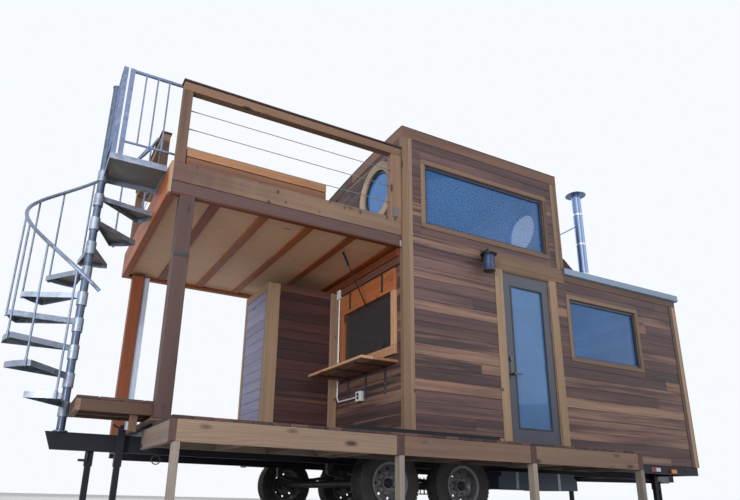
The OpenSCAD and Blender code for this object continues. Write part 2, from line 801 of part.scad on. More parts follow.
module front_deck_frame() color("#9c6a43") place() {
    for (i = [0:2]) {
        bay = (leg_xs[i + 1] - leg_xs[i] - leg_w) / 4;
        block(leg_xs[i] + leg_w, leg_xs[i + 1], -deck_d, -deck_d + beam_t, deck_low, deck_under_boards);
        for (k = [1:3]) {
            x = leg_xs[i] + leg_w + k * bay;
            deck_joist(x, i == 1 ? header_y : -beam_t);
        }
    }
    for (x = trimmer_xs) deck_joist(x, -beam_t);
    block(-deck_left, frame_x, -deck_d + leg_w, deck_side_end_y, deck_low, deck_under_boards);
    block(deck_right - beam_t, deck_right, -deck_d + leg_w, 0, deck_low, deck_under_boards);
    block(frame_x + seat_gap, trimmer_xs[0] + beam_t, -beam_t, 0, deck_low, deck_under_boards);
    block(trimmer_xs[1], deck_right - beam_t - seat_gap, -beam_t, 0, deck_low, deck_under_boards);
    block(trimmer_xs[0] + beam_t + seat_gap, trimmer_xs[1] - seat_gap, header_y, header_y + beam_t,
        deck_low, deck_under_boards);
}

module front_deck_boards() color("#6f5038") place() difference() {
    block(-deck_left, deck_right, -deck_d, -trim_t - well_gap, deck_under_boards, deck_z);
    block(fender_x - fender_room, fender_end + fender_room, -fender_out - well_gap, 1,
        deck_under_boards - 1, deck_z + 1);
}

module deck_legs() color("#a9a59b") place()
    for (x = leg_xs) block(x, x + leg_w, -deck_d, -deck_d + leg_w, 0, deck_under_boards);

post_x = -porch_len + 25;

module porch_posts() color("#7a4424") place() {
    block(post_x, post_x + post_w, 0, post_w, porch_z, deck_under);
    block(post_x, post_x + post_w, house_w - post_w, house_w, porch_z, deck_under);
}

// Roof deck
house_end = -trim_t;
joist_n = 5;
joist_step = 494;
joist_start = 72;
between = [edge_beam_t + seat_gap, deck_back - edge_beam_t - seat_gap];

// A board across the roof deck, between its long beams
module across_deck(i, w, z0, z1) translate([-joist_start - i * joist_step, 0, 0])
    block(-w / 2, w / 2, between[0], between[1], z0, z1);

module roof_deck_frame() color("#7d4f2c") place() {
    block(-roof_deck_len, house_end, 0, edge_beam_t, deck_under, deck_top);
    block(-roof_deck_len, house_end, deck_back - edge_beam_t, deck_back, deck_under, deck_top);
    block(-roof_deck_len, -roof_deck_len + edge_beam_t, between[0], between[1], deck_under, deck_top);
    for (i = [0:joist_n - 1]) across_deck(i, joist_w, joist_z, joist_z + joist_h);
}

module roof_deck_floor() color("#b39a7c") place()
    block(-roof_deck_len + edge_beam_t, house_end, edge_beam_t, deck_back - edge_beam_t,
        joist_z + joist_h, deck_floor_z);

module porch_ceiling() color("#b39a7c") place()
    block(-roof_deck_len + edge_beam_t, house_end, edge_beam_t, deck_back - edge_beam_t, ceiling_z,
        joist_z);

module ceiling_battens() color("#a0643a") place()
    for (i = [0:joist_n - 1]) across_deck(i, batten_w, batten_z, ceiling_z);

cap_t = 20;
cap_out = 12;
bar_z = rail_end_z - rail_bar_h;
side_post_y = landing_end_y + 290;
corner_y = deck_back - rail_post_w;
house_post_x = -155;
house_post_w = 133;
rail_post_end = rail_post_x + rail_post_w;

module rail_bar(x0, x1, y0, y1) {
    block(x0, x1, y0, y1, bar_z, rail_end_z - cap_t);
    block(x0 - cap_out, x1 + (x1 > house_post_x ? 0 : cap_out), y0 - cap_out, y1 + cap_out,
        rail_end_z - cap_t, rail_end_z);
}

module rail_post(x0, x1, y) block(x0, x1, y, y + rail_post_w, deck_top, bar_z - seat_gap);

module deck_railing() color("#7c4c2b") place() {
    for (y = [0, side_post_y, corner_y]) rail_post(rail_post_x, rail_post_end, y);
    for (y = [0, corner_y]) {
        rail_post(house_post_x, house_post_x + house_post_w, y);
        rail_bar(rail_post_x, house_end, y, y + rail_post_w);
    }
    rail_bar(rail_post_x, rail_post_end, side_post_y, corner_y - 2 * cap_out - seat_gap);
}

cable_lift = 195;

module railing_cables() color("#b9bec3") place() for (i = [0:2]) {
    z = deck_top + cable_lift + i * cable_step;
    rod_x(rail_post_w / 2, z, rail_post_end, house_post_x, cable_r);
    rod_x(deck_back - rail_post_w / 2, z, rail_post_end, house_post_x, cable_r);
    rod_y(rail_post_x + rail_post_w / 2, z, side_post_y + rail_post_w, corner_y, cable_r);
}

planter_x = rail_post_end + 8;
planter_y = 15;
planter_floor_t = 30;

module planter() color("#8a5a36") place() difference() {
    block(planter_x, planter_x + planter_len, planter_y, planter_y + planter_d, deck_top,
        deck_top + planter_h);
    block(planter_x + beam_t, planter_x + planter_len - beam_t, planter_y + beam_t,
        planter_y + planter_d - beam_t,
        deck_top + planter_floor_t, deck_top + planter_h + 1);
}

spout_w = 75;
spout_d = 60;
spout_y = house_w - post_w + 35;

module downspout() color("#aab7cc") place()
    block(post_x + post_w, post_x + post_w + spout_w, spout_y, spout_y + spout_d, porch_z, deck_under);

// House shell
module house_floor() color("#a58a68") place() difference() {
    union() {
        block(wall_t, total_len - wall_t, wall_t, house_w - wall_t, frame_top, floor_z);
        block(door_x, door_end, 0, wall_t, frame_top, floor_z);
    }
    wells(fender_end + well_gap, frame_top - 10);
}

module front_wall_left() color("#6a4535") place() {
    block(0, fender_end + well_gap, 0, wall_t, fender_top + well_gap, door_top);
    block(fender_end + well_gap, door_x, 0, wall_t, rail_top, door_top);
}

// Cuts run past a wall's faces by this much
past = 50;

module big_opening() block(big_x, big_x + big_w, -past, wall_t + past, big_sill, big_head);

low_win_left = tall_len + low_win_x;
low_win_right = low_win_left + low_win_w;

module low_opening() block(low_win_left, low_win_right, -past, wall_t + past, low_win_sill, low_win_head);

module round_disc(x0, x1, r) translate([x0, round_y, round_z]) rotate([0, 90, 0]) cylinder(h = x1 - x0,
    r = r, $fn = 96);

module front_wall_upper() color("#6a4535") place() difference() {
    under_arch(0, tall_len, 0, wall_t, door_top, tall_top);
    big_opening();
}

module front_wall_right() color("#6a4535") place() {
    block(door_end, tall_len, 0, wall_t, rail_top, door_top);
    difference() {
        under_arch(tall_len, total_len, 0, wall_t, rail_top, low_top);
        low_opening();
    }
}

module back_wall() color("#6a4535") place() difference() {
    union() {
        under_arch(0, tall_len, house_w - wall_t, house_w, rail_top, tall_top);
        under_arch(tall_len, total_len, house_w - wall_t, house_w, rail_top, low_top);
    }
    other_side() {
        low_opening();
        big_opening();
    }
    wells(fender_end + well_gap, fender_top + well_gap - 300);
}

hatch_in_y = hatch_y + hatch_side;
hatch_out_y = hatch_y + hatch_w - hatch_side;
hatch_in_z = floor_z + hatch_z + hatch_foot;
hatch_out_z = floor_z + hatch_z + hatch_h - hatch_top;
module hatch_opening() block(-hatch_t - past, wall_t + past, hatch_in_y, hatch_out_y, hatch_in_z,
    hatch_out_z);

module porch_wall() color("#5d3f33") place() difference() {
    under_arch(0, wall_t, wall_t, house_w - wall_t, frame_top, tall_top);
    round_disc(-past, wall_t + past, round_r);
    hatch_opening();
    wells(fender_end, fender_top + well_gap - 300);
}

module loft_wall() color("#6a4535") place() difference() {
    under_arch(tall_len - wall_t, tall_len, wall_t, house_w - wall_t, door_top, tall_top);
    round_disc(tall_len - wall_t - past, tall_len + past, round_r);
}

module low_end_wall() color("#6a4535") place()
    under_arch(total_len - wall_t, total_len, wall_t, house_w - wall_t, rail_top, low_top);

closet_top = porch_z + closet_h;
module closet() color("#5a4552") place() difference() {
    block(-closet_len, 0, closet_y, closet_y + closet_d, porch_z, closet_top);
    block(-closet_len + closet_t, -closet_t, closet_y + closet_t, closet_y + closet_d - closet_t,
        porch_z + closet_t, closet_top - closet_t);
}

module tall_roof() color("#3c3f45") place() arch_slab(0, tall_len, 0, house_w, tall_top, 0, roof_t);

edge_h = 78;
edge_t = 14;
edge_up = 7;
edge_lap = 2;
module low_roof() color("#9fb0bd") place() {
    far = house_w + low_reach - edge_t;
    arch_slab(tall_len, total_len + low_end_reach, -low_reach + edge_t, far, low_top, 0, roof_t);
    block(tall_len, total_len + low_end_reach, -low_reach, -low_reach + edge_t + edge_lap,
        low_top + edge_up - edge_h, low_top + edge_up);
    block(tall_len, total_len + low_end_reach, far - edge_lap, far + edge_t,
        arch_z(low_top, far) - edge_h, arch_z(low_top, far));
}

// Trim boards
fascia_up = 10;
low_fascia_h = 85;
corner_turn = 45;
low_trim_up = 4;
door_trim_gap = 4;

// A board on the front and a narrower one round the corner, tucked up behind the arched board
module corner_boards(x, z0, side_z0, z1, w, left) {
    block(left ? x : x - w, left ? x + w : x, -trim_t, 0, z0, z1);
    block(left ? x - trim_t : x, left ? x : x + trim_t, -trim_t, corner_turn, side_z0, z1 + 2 * fascia_up);
}

module front_trim(tall_z, low_z) {
    corner_boards(0, fender_top + well_gap, fender_top + well_gap, tall_z, corner_w, true);
    corner_boards(tall_len, belt_top, low_top + low_trim_up, tall_z, slim_corner_w, false);
    corner_boards(total_len, rail_top, rail_top, low_z, corner_w - trim_t, false);
    frame_xz(big_x, big_x + big_w, big_sill, big_head, -trim_t, 0, window_trim_w);
    frame_xz(low_win_left, low_win_right, low_win_sill, low_win_head, -trim_t, 0, window_trim_w - 8);
    block(-trim_t, tall_len + trim_t, -trim_t, 0, tall_z, tall_z + fascia_h);
    block(tall_len, total_len + trim_t, -trim_t, 0, low_z, low_z + low_fascia_h);
}

closet_board_w = 130;
closet_side_w = 60;
closet_wall_board = 130;
closet_head_h = 90;
closet_back = closet_y + closet_d;

module closet_trim() {
    block(-closet_len - trim_t, -closet_len + closet_board_w, closet_y - trim_t, closet_y, porch_z,
        closet_top);
    for (y = [closet_y, closet_back - closet_side_w])
        block(-closet_len - trim_t, -closet_len, y, y + closet_side_w, porch_z, closet_top);
    block(-closet_wall_board, -trim_t, closet_y - trim_t, closet_y, porch_z, closet_top);
    block(-closet_len + closet_board_w, -closet_wall_board, closet_y - trim_t, closet_y,
        closet_top - closet_head_h, closet_top);
    block(-closet_len - trim_t, -closet_len, closet_y + closet_side_w, closet_back - closet_side_w,
        closet_top - closet_head_h, closet_top);
}

module round_ring(x0, x1, r0, r1) difference() {
    round_disc(x0, x1, r1);
    round_disc(x0 - 1, x1 + 1, r0);
}

module house_trim() color("#a8764d") place() {
    front_trim(tall_top + fascia_up - fascia_h, under_z(low_top, trim_t) - low_fascia_h);
    other_side() front_trim(arch_z(tall_top, house_w) + fascia_up - fascia_h,
        under_z(low_top, house_w + trim_t) - low_fascia_h);
    block(door_x - belt_reach, tall_len, -trim_t, 0, belt_z, belt_top);
    block(door_x - door_trim_w, door_x - door_trim_gap, -trim_t, 0, deck_z + 4, belt_z);
    block(door_end + door_trim_gap, door_end + door_trim_w, -trim_t, 0, deck_z + 4, belt_z);
    block(door_x - door_trim_gap, door_end + door_trim_gap, -trim_t, 0, door_top + door_trim_gap, belt_z);
    for (x = [-trim_t, tall_len])
        arch_slab(x, x + trim_t, 0, house_w, tall_top, -fascia_up, fascia_h - fascia_up);
    for (x = [-trim_t, tall_len]) round_ring(x, x + trim_t, round_r, round_r + round_trim_w);
    closet_trim();
}

// Frames and glass stand this far behind a wall's outer face
frame_set = 6;
glass_set = 24;

module frame_in(x0, x1, z0, z1) frame_xz(x0 + frame_w, x1 - frame_w, z0 + frame_w, z1 - frame_w,
    frame_set, frame_set + frame_d, frame_w);

module window_frames() color("#23262c") place() {
    both_sides() {
        frame_in(big_x, big_x + big_w, big_sill, big_head);
        frame_in(low_win_left, low_win_right, low_win_sill, low_win_head);
    }
    for (x = [frame_set, tall_len - frame_set - frame_d])
        round_ring(x, x + frame_d, round_r - frame_w, round_r);
}

module pane(x0, x1, z0, z1) block(x0 + frame_w, x1 - frame_w, glass_set, glass_set + glass_t,
    z0 + frame_w, z1 - frame_w);

module window_glass() color("#6d8494") place() {
    both_sides() {
        pane(big_x, big_x + big_w, big_sill, big_head);
        pane(low_win_left, low_win_right, low_win_sill, low_win_head);
    }
    for (x = [glass_set, tall_len - glass_set - glass_t]) round_disc(x, x + glass_t, round_r - frame_w);
    block(1, 1 + glass_t, hatch_in_y, hatch_out_y, hatch_in_z, hatch_out_z);
}

module serving_window() color("#a9683a") place() difference() {
    block(-hatch_t, 0, hatch_y, hatch_y + hatch_w, floor_z + hatch_z, floor_z + hatch_z + hatch_h);
    hatch_opening();
}

counter_y = 115;
counter_top = floor_z + counter_z;
module counter() color("#a8713f") place()
    block(-counter_d, 0, counter_y, counter_y + counter_w, counter_top - counter_t, counter_top);

bracket_ys = [221, 634, 1047];
bracket_h = 290;
bracket_w = 30;
bracket_t = 10;
bracket_arm = 390;

// Each is a flat bar with an upright on the wall and an arm under the counter
module counter_brackets() color("#17181a") place() for (y = bracket_ys) translate([0, counter_y + y,
    counter_top - counter_t]) {
    block(-bracket_t, 0, 0, bracket_w, -bracket_h, 0);
    block(-bracket_t - bracket_arm, -bracket_t, 0, bracket_w, -bracket_t, 0);
}

// Entrance door
lite_x = leaf_x + leaf_stile;
lite_end = leaf_end - leaf_stile;
lite_z = leaf_z + leaf_foot;
lite_top = leaf_top - leaf_stile - 35;
hinge_end = 200;
hinge_zs = [leaf_z + hinge_end, (leaf_z + leaf_top) / 2, leaf_top - hinge_end];
hinge_h = 90;
strap_t = 8;
hinge_leaf_w = 26;
hinge_leaf_t = 5;

module door_leaf() color("#2e3946") place() {
    difference() {
        block(leaf_x, leaf_end, leaf_y, leaf_y + leaf_t, leaf_z, leaf_top);
        block(lite_x, lite_end, leaf_y - 1, leaf_y + leaf_t + 1, lite_z, lite_top);
    }
    for (z = hinge_zs) translate([hinge_x, hinge_y, z - hinge_h / 6]) difference() {
        union() {
            cylinder(h = hinge_h / 3, r = knuckle_r, $fn = 32);
            translate([-strap_t - 4, leaf_y + leaf_t - hinge_y, 0])
                cube([strap_t, hinge_y - leaf_y - leaf_t, hinge_h / 3]);
        }
        translate([0, 0, -1]) cylinder(h = hinge_h, r = pin_r + run_gap, $fn = 32);
    }
}

module door_hinges() color("#3a3d42") place() for (z = hinge_zs) {
    translate([hinge_x, hinge_y, z - hinge_h / 2]) cylinder(h = hinge_h, r = pin_r, $fn = 32);
    for (foot = [z - hinge_h / 2, z + hinge_h / 6 + 1]) {
        translate([hinge_x, hinge_y, foot]) cylinder(h = hinge_h / 3 - 1, r = knuckle_r, $fn = 32);
        block(door_end - hinge_leaf_t, door_end, hinge_y, hinge_y + hinge_leaf_w, foot,
            foot + hinge_h / 3 - 1);
    }
}

module door_glass() color("#5b7384") place()
    block(lite_x, lite_end, leaf_y + leaf_t / 2 - glass_t / 2, leaf_y + leaf_t / 2 + glass_t / 2, lite_z,
        lite_top);

plate_w = 40;
handle_plate_h = 250;
handle_plate_foot = 45;
handle_plate_t = 6;
handle_out = 45;
lever_len = 112;
lever_t = 12;
lever_h = 20;
bolt_up = 166;
bolt_r = 25;
bolt_out = 16;

// A plate with a bolt's round knob and a lever on its shaft, out from a face of the leaf
module handle_side() {
    block(-plate_w / 2, plate_w / 2, 0, handle_plate_t, -handle_plate_foot,
        handle_plate_h - handle_plate_foot);
    rod_y(0, bolt_up, handle_plate_t - 1, bolt_out, bolt_r);
    rod_y(0, 0, handle_plate_t, handle_out, 9);
    block(-lever_t, lever_len - lever_t, handle_out, handle_out + lever_t, -lever_h / 2, lever_h / 2);
}

module door_handle() color("#101114") place() translate([leaf_x + leaf_stile / 2, 0, floor_z + handle_h]) {
    translate([0, leaf_y, 0]) mirror([0, 1, 0]) handle_side();
    translate([0, leaf_y + leaf_t, 0]) handle_side();
}

// Fittings
lamp_x = door_x - 278;
lamp_y = -115;
lamp_z = door_top - 85;
lamp_r = 68;
lamp_h = 200;
hood_r = 95;
hood_h = 40;
lamp_plate_w = 60;
lamp_plate_t = 12;
lamp_arm_w = 16;

module lantern() color("#1b1d22") place() translate([lamp_x, 0, lamp_z]) {
    block(-lamp_plate_w / 2, lamp_plate_w / 2, -lamp_plate_t, 0, lamp_h - 50, lamp_h + 90);
    block(-lamp_arm_w / 2, lamp_arm_w / 2, lamp_y - 8, -lamp_plate_t, lamp_h + 62, lamp_h + 78);
    translate([0, lamp_y, 0]) {
        cylinder(h = lamp_h, r = lamp_r, $fn = 32);
        translate([0, 0, lamp_h]) cylinder(h = hood_h, r1 = hood_r, r2 = 30, $fn = 32);
        translate([0, 0, lamp_h + hood_h]) cylinder(h = 30, r = 14, $fn = 32);
    }
}

boot_sink = 4;
flue_foot = arch_z(low_top, flue_y + flue_r) - boot_sink;
flue_top = low_top + flue_h;
boot_h = 60;
boot_out = 50;
boot_top_out = 20;
boot_r = flue_r + boot_out;
collar_up = 50;
collar_out = 30;
collar_z = flue_foot + boot_h + collar_up;
collar_h = 24;
hat_out = 75;
hat_slope = 50;
neck_in = 15;
cap_h = 30;
cap_gap = 40;
brace_z = flue_top - 0.35 * flue_h;
brace_drop = 440;
brace_r = 8;
brace_plate = 60;
brace_plate_t = 6;

module chimney() color("#c3c7cb") place() {
    difference() {
        translate([flue_x, flue_y, 0]) {
            translate([0, 0, flue_foot]) cylinder(h = boot_h, r1 = boot_r, r2 = flue_r + boot_top_out,
                $fn = 64);
            translate([0, 0, flue_foot + boot_h])
                cylinder(h = flue_top - cap_h - cap_gap - flue_foot - boot_h, r = flue_r, $fn = 64);
            translate([0, 0, collar_z]) cylinder(h = collar_h, r1 = flue_r + collar_out, r2 = flue_r,
                $fn = 64);
            translate([0, 0, flue_top - cap_h - cap_gap]) cylinder(h = cap_gap, r = flue_r - neck_in,
                $fn = 64);
            translate([0, 0, flue_top - cap_h]) cylinder(h = cap_h, r1 = flue_r + hat_out,
                r2 = flue_r + hat_out - hat_slope, $fn = 64);
        }
        arch_slab(flue_x - 2 * boot_r, flue_x + 2 * boot_r, flue_y - 2 * boot_r, flue_y + 2 * boot_r,
            low_top + seat_gap, 0, boot_h);
    }
    // The brace stands on a plate on the round window's trim
    x = tall_len + trim_t;
    translate([x, flue_y - brace_plate / 2, brace_z - brace_drop - brace_plate / 2])
        cube([brace_plate_t, brace_plate, brace_plate]);
    dx = flue_x - x - brace_plate_t + 1;
    translate([x + brace_plate_t - 1, flue_y, brace_z - brace_drop]) rotate([0, atan2(dx, brace_drop), 0])
        cylinder(h = sqrt(brace_drop * brace_drop + dx * dx), r = brace_r, $fn = 16);
}

cricket_len = flue_reach - boot_r - 2;
cricket_flat = 330;
cricket_y = 240;
cricket_end_y = 900;
cricket_foot = low_top - 60;
cricket_edge = low_top + 30;
// It reaches up to just below the round window's ring
cricket_top = round_z - round_r - round_trim_w - 14;

module roof_cricket() color("#4a342a") place() difference() {
    translate([0, cricket_end_y, 0]) rotate([90, 0, 0]) linear_extrude(cricket_end_y - cricket_y) polygon([
        [tall_len, cricket_foot], [tall_len + cricket_len, cricket_foot], [tall_len + cricket_len,
            cricket_edge],
        [tall_len + cricket_flat, cricket_top], [tall_len, cricket_top]
    ]);
    under_arch(tall_len - 1, total_len, cricket_y - 1, cricket_end_y + 1, low_top - low_h / 2,
        low_top + seat_gap, 0);
}

main_rails();
side_rails();
cross_members();
hitch_arms();
coupler();
axles();
fenders();
jacks();
water_tank();
rim_front_left();
rim_front_right();
rim_back_left();
rim_back_right();
tyre_front_left();
tyre_front_right();
tyre_back_left();
tyre_back_right();
stair_pole();
stair_treads();
stair_railing();
stair_landing();
landing_guard();
landing_step();
porch_floor();
front_deck_frame();
front_deck_boards();
deck_legs();
porch_posts();
roof_deck_frame();
roof_deck_floor();
porch_ceiling();
ceiling_battens();
deck_railing();
railing_cables();
planter();
downspout();
house_floor();
front_wall_left();
front_wall_upper();
front_wall_right();
back_wall();
porch_wall();
loft_wall();
low_end_wall();
closet();
tall_roof();
low_roof();
house_trim();
window_frames();
window_glass();
serving_window();
counter();
counter_brackets();
door_leaf();
door_glass();
door_handle();
door_hinges();
lantern();
chimney();
roof_cricket();
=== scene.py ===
import math
import random

import bmesh
import bpy
from mathutils import Matrix, Vector


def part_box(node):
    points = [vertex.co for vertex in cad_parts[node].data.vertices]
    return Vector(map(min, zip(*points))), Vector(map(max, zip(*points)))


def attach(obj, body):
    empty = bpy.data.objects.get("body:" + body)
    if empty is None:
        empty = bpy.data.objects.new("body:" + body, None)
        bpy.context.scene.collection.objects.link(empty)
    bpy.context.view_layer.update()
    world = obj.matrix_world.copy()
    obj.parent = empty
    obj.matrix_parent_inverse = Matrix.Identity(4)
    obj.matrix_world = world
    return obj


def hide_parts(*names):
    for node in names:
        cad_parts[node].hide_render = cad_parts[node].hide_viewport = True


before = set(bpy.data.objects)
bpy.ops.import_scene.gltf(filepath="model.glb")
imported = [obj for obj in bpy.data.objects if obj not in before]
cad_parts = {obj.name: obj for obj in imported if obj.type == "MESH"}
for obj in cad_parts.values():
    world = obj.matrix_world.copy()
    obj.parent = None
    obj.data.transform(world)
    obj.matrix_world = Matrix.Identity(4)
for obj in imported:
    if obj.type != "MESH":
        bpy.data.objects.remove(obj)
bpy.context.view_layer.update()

# Camera, floor and lights. The camera stands low on the grass side of the front deck and looks up and
# along the house. Everything on the house is placed by at(), from the tall room's porch corner.
WALL_CORNER = Vector((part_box("front_wall_left")[0][0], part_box("front_wall_left")[0][1], 0))
PHOTO_W, PHOTO_H, FOCAL, CENTRE_X, CENTRE_Y, SENSOR = 740, 500, 612.34, 342.6, 291.3, 36


def at(x, y, z):
    return Vector((x, y, z)) / 1000 + WALL_CORNER


def linked(name, data):
    made = bpy.data.objects.new(name, data)
    bpy.context.scene.collection.objects.link(made)
    return made


camera = linked("camera", bpy.data.cameras.new("camera"))
camera.matrix_world = Matrix.Translation(at(-3357, -5132.5, 182.9)) @ Matrix((
    (0.88618845, -0.16773518, -0.43189692, 0),
    (-0.46275694, -0.27428392, -0.84298538, 0),
    (0.02293592, 0.9469072, -0.32068786, 0),
    (0, 0, 0, 1)))
camera.data.sensor_width = SENSOR
camera.data.lens = FOCAL / PHOTO_W * SENSOR
camera.data.shift_x = (PHOTO_W / 2 - CENTRE_X) / PHOTO_W
camera.data.shift_y = (CENTRE_Y - PHOTO_H / 2) / PHOTO_W
camera.data.clip_end = 200
bpy.context.scene.camera = camera
bpy.context.scene.view_settings.view_transform = "Standard"

floor_mesh = bpy.data.meshes.new("floor")
floor_bm = bmesh.new()
bmesh.ops.create_grid(floor_bm, x_segments=1, y_segments=1, size=60)
floor_bm.to_mesh(floor_mesh)
floor_bm.free()
floor = linked("floor", floor_mesh)


materials = {}


def new_material(name):
    materials[name] = bpy.data.materials.new(name)
    materials[name].use_nodes = True
    tree = materials[name].node_tree
    return tree, tree.nodes["Principled BSDF"]


def fill(made, inputs):
    """Fills a node's inputs, by name or number, with values or links."""
    for key, value in inputs.items():
        if isinstance(value, bpy.types.NodeSocket):
            made.id_data.links.new(value, made.inputs[key])
        else:
            made.inputs[key].default_value = value


def node(tree, kind, inputs, **settings):
    made = tree.nodes.new(kind)
    for key, value in settings.items():
        setattr(made, key, value)
    fill(made, inputs)
    return made.outputs


def math_node(tree, operation, a, b, clamp=False):
    return node(tree, "ShaderNodeMath", {0: a, 1: b}, operation=operation, use_clamp=clamp)[0]


def plus(tree, a, b, clamp=False):
    return math_node(tree, "ADD", a, b, clamp)


def minus(tree, a, b, clamp=False):
    return math_node(tree, "SUBTRACT", a, b, clamp)


def times(tree, a, b, clamp=False):
    return math_node(tree, "MULTIPLY", a, b, clamp)


def vector_node(tree, operation, a, b):
    return node(tree, "ShaderNodeVectorMath", {0: a, 1: b}, operation=operation)[0]


def split(tree, kind, value):
    return node(tree, "ShaderNodeSeparate" + kind, {0: value})


def object_place(tree):
    return node(tree, "ShaderNodeTexCoord", {})["Object"]


def noise(tree, place, scale, detail, roughness=0.5):
    return node(tree, "ShaderNodeTexNoise",
                {"Vector": place, "Scale": scale, "Detail": detail, "Roughness": roughness})[0]


def bumps(tree, height, strength, distance=0.001):
    return node(tree, "ShaderNodeBump", {"Height": height, "Strength": strength, "Distance": distance})[0]


def mixed(tree, amount, a, b, blend="MIX"):
    return node(tree, "ShaderNodeMix", {0: amount, 6: a, 7: b}, data_type="RGBA", blend_type=blend)[2]


def darker(tree, amount, base, colour):
    """Multiplies a colour by another, by a given amount."""
    return mixed(tree, amount, base, mixed(tree, 1.0, base, (*colour, 1), "MULTIPLY"))


def ramp(tree, value, *stops):
    out = node(tree, "ShaderNodeValToRGB", {0: value})[0]
    elements = out.node.color_ramp.elements
    while len(elements) < len(stops):
        elements.new(0.5)
    for element, (place, colour) in zip(elements, stops):
        element.position = place
        element.color = (*colour, 1)
    return out


def srgb(r, g, b):
    return tuple((c / 255 / 12.92) if c <= 10 else ((c / 255 + 0.055) / 1.055) ** 2.4 for c in (r, g, b))


fill(new_material("studio_floor")[1], {"Base Color": (0.80, 0.80, 0.79, 1), "Roughness": 0.9})
floor_mesh.materials.append(materials["studio_floor"])

world = bpy.data.worlds.new("studio")
bpy.context.scene.world = world
world.use_nodes = True
sky = world.node_tree
paths = node(sky, "ShaderNodeLightPath", {})
seen = math_node(sky, "MAXIMUM", paths["Is Camera Ray"],
                 math_node(sky, "MAXIMUM", paths["Is Glossy Ray"], paths["Is Transmission Ray"]))
fill(sky.nodes["Background"], {"Color": (0.93, 0.96, 1.0, 1), "Strength": plus(sky, times(sky, seen, 0.46), 0.54)})

for name, place, aim, size, power, spread in (
        ("key", (-9, -16, 13), (0, 0, 2), 9, 660, 180),
        ("porch", (-9.5, -7.5, 2.6), (-2.4, 0.3, 2.9), 3, 105, 56),
        ("fill", (12, -12, 8), (0, 0, 2), 9, 360, 180),
        ("back", (2, 16, 12), (0, 0, 2), 10, 700, 180)):
    lamp = linked(name, bpy.data.lights.new(name, "AREA"))
    lamp.data.size = size
    lamp.data.energy = power
    lamp.data.spread = math.radians(spread)
    lamp.location = place
    lamp.rotation_euler = (Vector(place) - Vector(aim)).to_track_quat("Z", "Y").to_euler()

# Sawn timber. Every board in the house is cut here: add_board() puts one board into a mesh and writes on
# its points where they lie along the board's own grain, and a tone of its own, for the wood materials.
cuts = random.Random(11)


def new_timber():
    bm = bmesh.new()
    bm.verts.layers.float_vector.new("grain")
    bm.verts.layers.float_color.new("board")
    return bm


def mark_grain(bm, verts, along, tone=None, pale=0.0):
    grain = bm.verts.layers.float_vector["grain"]
    board = bm.verts.layers.float_color["board"]
    order = {"x": (0, 1, 2), "y": (1, 0, 2), "z": (2, 1, 0)}[along]
    shift = Vector((cuts.uniform(-40, 40), cuts.uniform(-0.12, 0.12), cuts.uniform(-0.12, 0.12)))
    middle = sum((v.co for v in verts), Vector()) / len(verts)
    tone = cuts.random() if tone is None else tone
    hue = cuts.random()
    for v in verts:
        local = v.co - middle
        v[grain] = Vector([local[i] for i in order]) + shift
        v[board] = (tone, hue, pale, 1)


def add_block(bm, middle, size, turn=Matrix()):
    """A box round a place in the scene, with its size in metres."""
    return bmesh.ops.create_cube(
        bm, size=1, matrix=Matrix.Translation(middle) @ turn @ Matrix.Diagonal((*size, 1)))["verts"]


def add_board(bm, low, high, along="x", tone=None):
    middle = at(*[(a + b) / 2 for a, b in zip(low, high)])
    mark_grain(bm, add_block(bm, middle, [(b - a) / 1000 for a, b in zip(low, high)]), along, tone)


def add_boards(bm, *rows):
    """Boards from rows: low corner, high corner, way of the grain, and a tone where it isn't left to chance."""
    for x0, y0, z0, x1, y1, z1, along, *tone in rows:
        add_board(bm, (x0, y0, z0), (x1, y1, z1), along, *tone)


def finish_piece(bm, name, material, chamfer=0.0, replaces=(), body="house"):
    """Rounds a mesh's edges a little, makes it a piece, and lets it ride on its body."""
    bmesh.ops.recalc_face_normals(bm, faces=list(bm.faces))
    if chamfer:
        bmesh.ops.bevel(bm, geom=list(bm.edges), offset=chamfer / 1000, segments=1, affect="EDGES",
                        profile=0.5, material=-1, clamp_overlap=True)
    mesh = bpy.data.meshes.new(name)
    bm.to_mesh(mesh)
    bm.free()
    mesh.materials.append(materials[material])
    piece = linked(name, mesh)
    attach(piece, body)
    if replaces:
        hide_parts(*replaces)


def piece_of_boards(name, material, chamfer, rows, replaces=()):
    bm = new_timber()
    add_boards(bm, *rows)
    finish_piece(bm, name, material, chamfer, replaces)


def soft_dots(tree, place, pitch, kept, size):
    """Dots at random places, pitch to the metre along x, y and z: which of them are kept, and how near one is."""
    cells = node(tree, "ShaderNodeTexVoronoi", {"Vector": vector_node(tree, "MULTIPLY", place, pitch), "Scale": 1.0})
    chosen = math_node(tree, "LESS_THAN", split(tree, "Color", cells["Color"])[0], kept)
    return chosen, minus(tree, 1.0, times(tree, cells["Distance"], size), clamp=True)


grained = bpy.data.node_groups.new("wood_grain", "ShaderNodeTree")
for name, kind in (("Place", "Vector"), ("Ring", "Float"), ("Knots", "Float")):
    grained.interface.new_socket(name=name, in_out="INPUT", socket_type="NodeSocket" + kind)
for name in ("Figure", "Fibre", "Stain", "Knot", "Height"):
    grained.interface.new_socket(name=name, in_out="OUTPUT", socket_type="NodeSocketFloat")
given = grained.nodes.new("NodeGroupInput").outputs
grain_place = given["Place"]
knot_kept, knot_near = soft_dots(grained, grain_place, (2.3, 6.5, 6.5), given["Knots"], 5.5)
knot_near = times(grained, knot_kept, knot_near)
wave = noise(grained, vector_node(grained, "MULTIPLY", grain_place, (1.1, 5, 5)), 1.0, 2.0).node.outputs["Color"]
bent = vector_node(grained, "MULTIPLY", vector_node(grained, "SUBTRACT", wave, (0.5, 0.5, 0.5)), (0.0, 0.11, 0.11))
pith = vector_node(grained, "ADD", grain_place, (0, 0.055, 0.16))
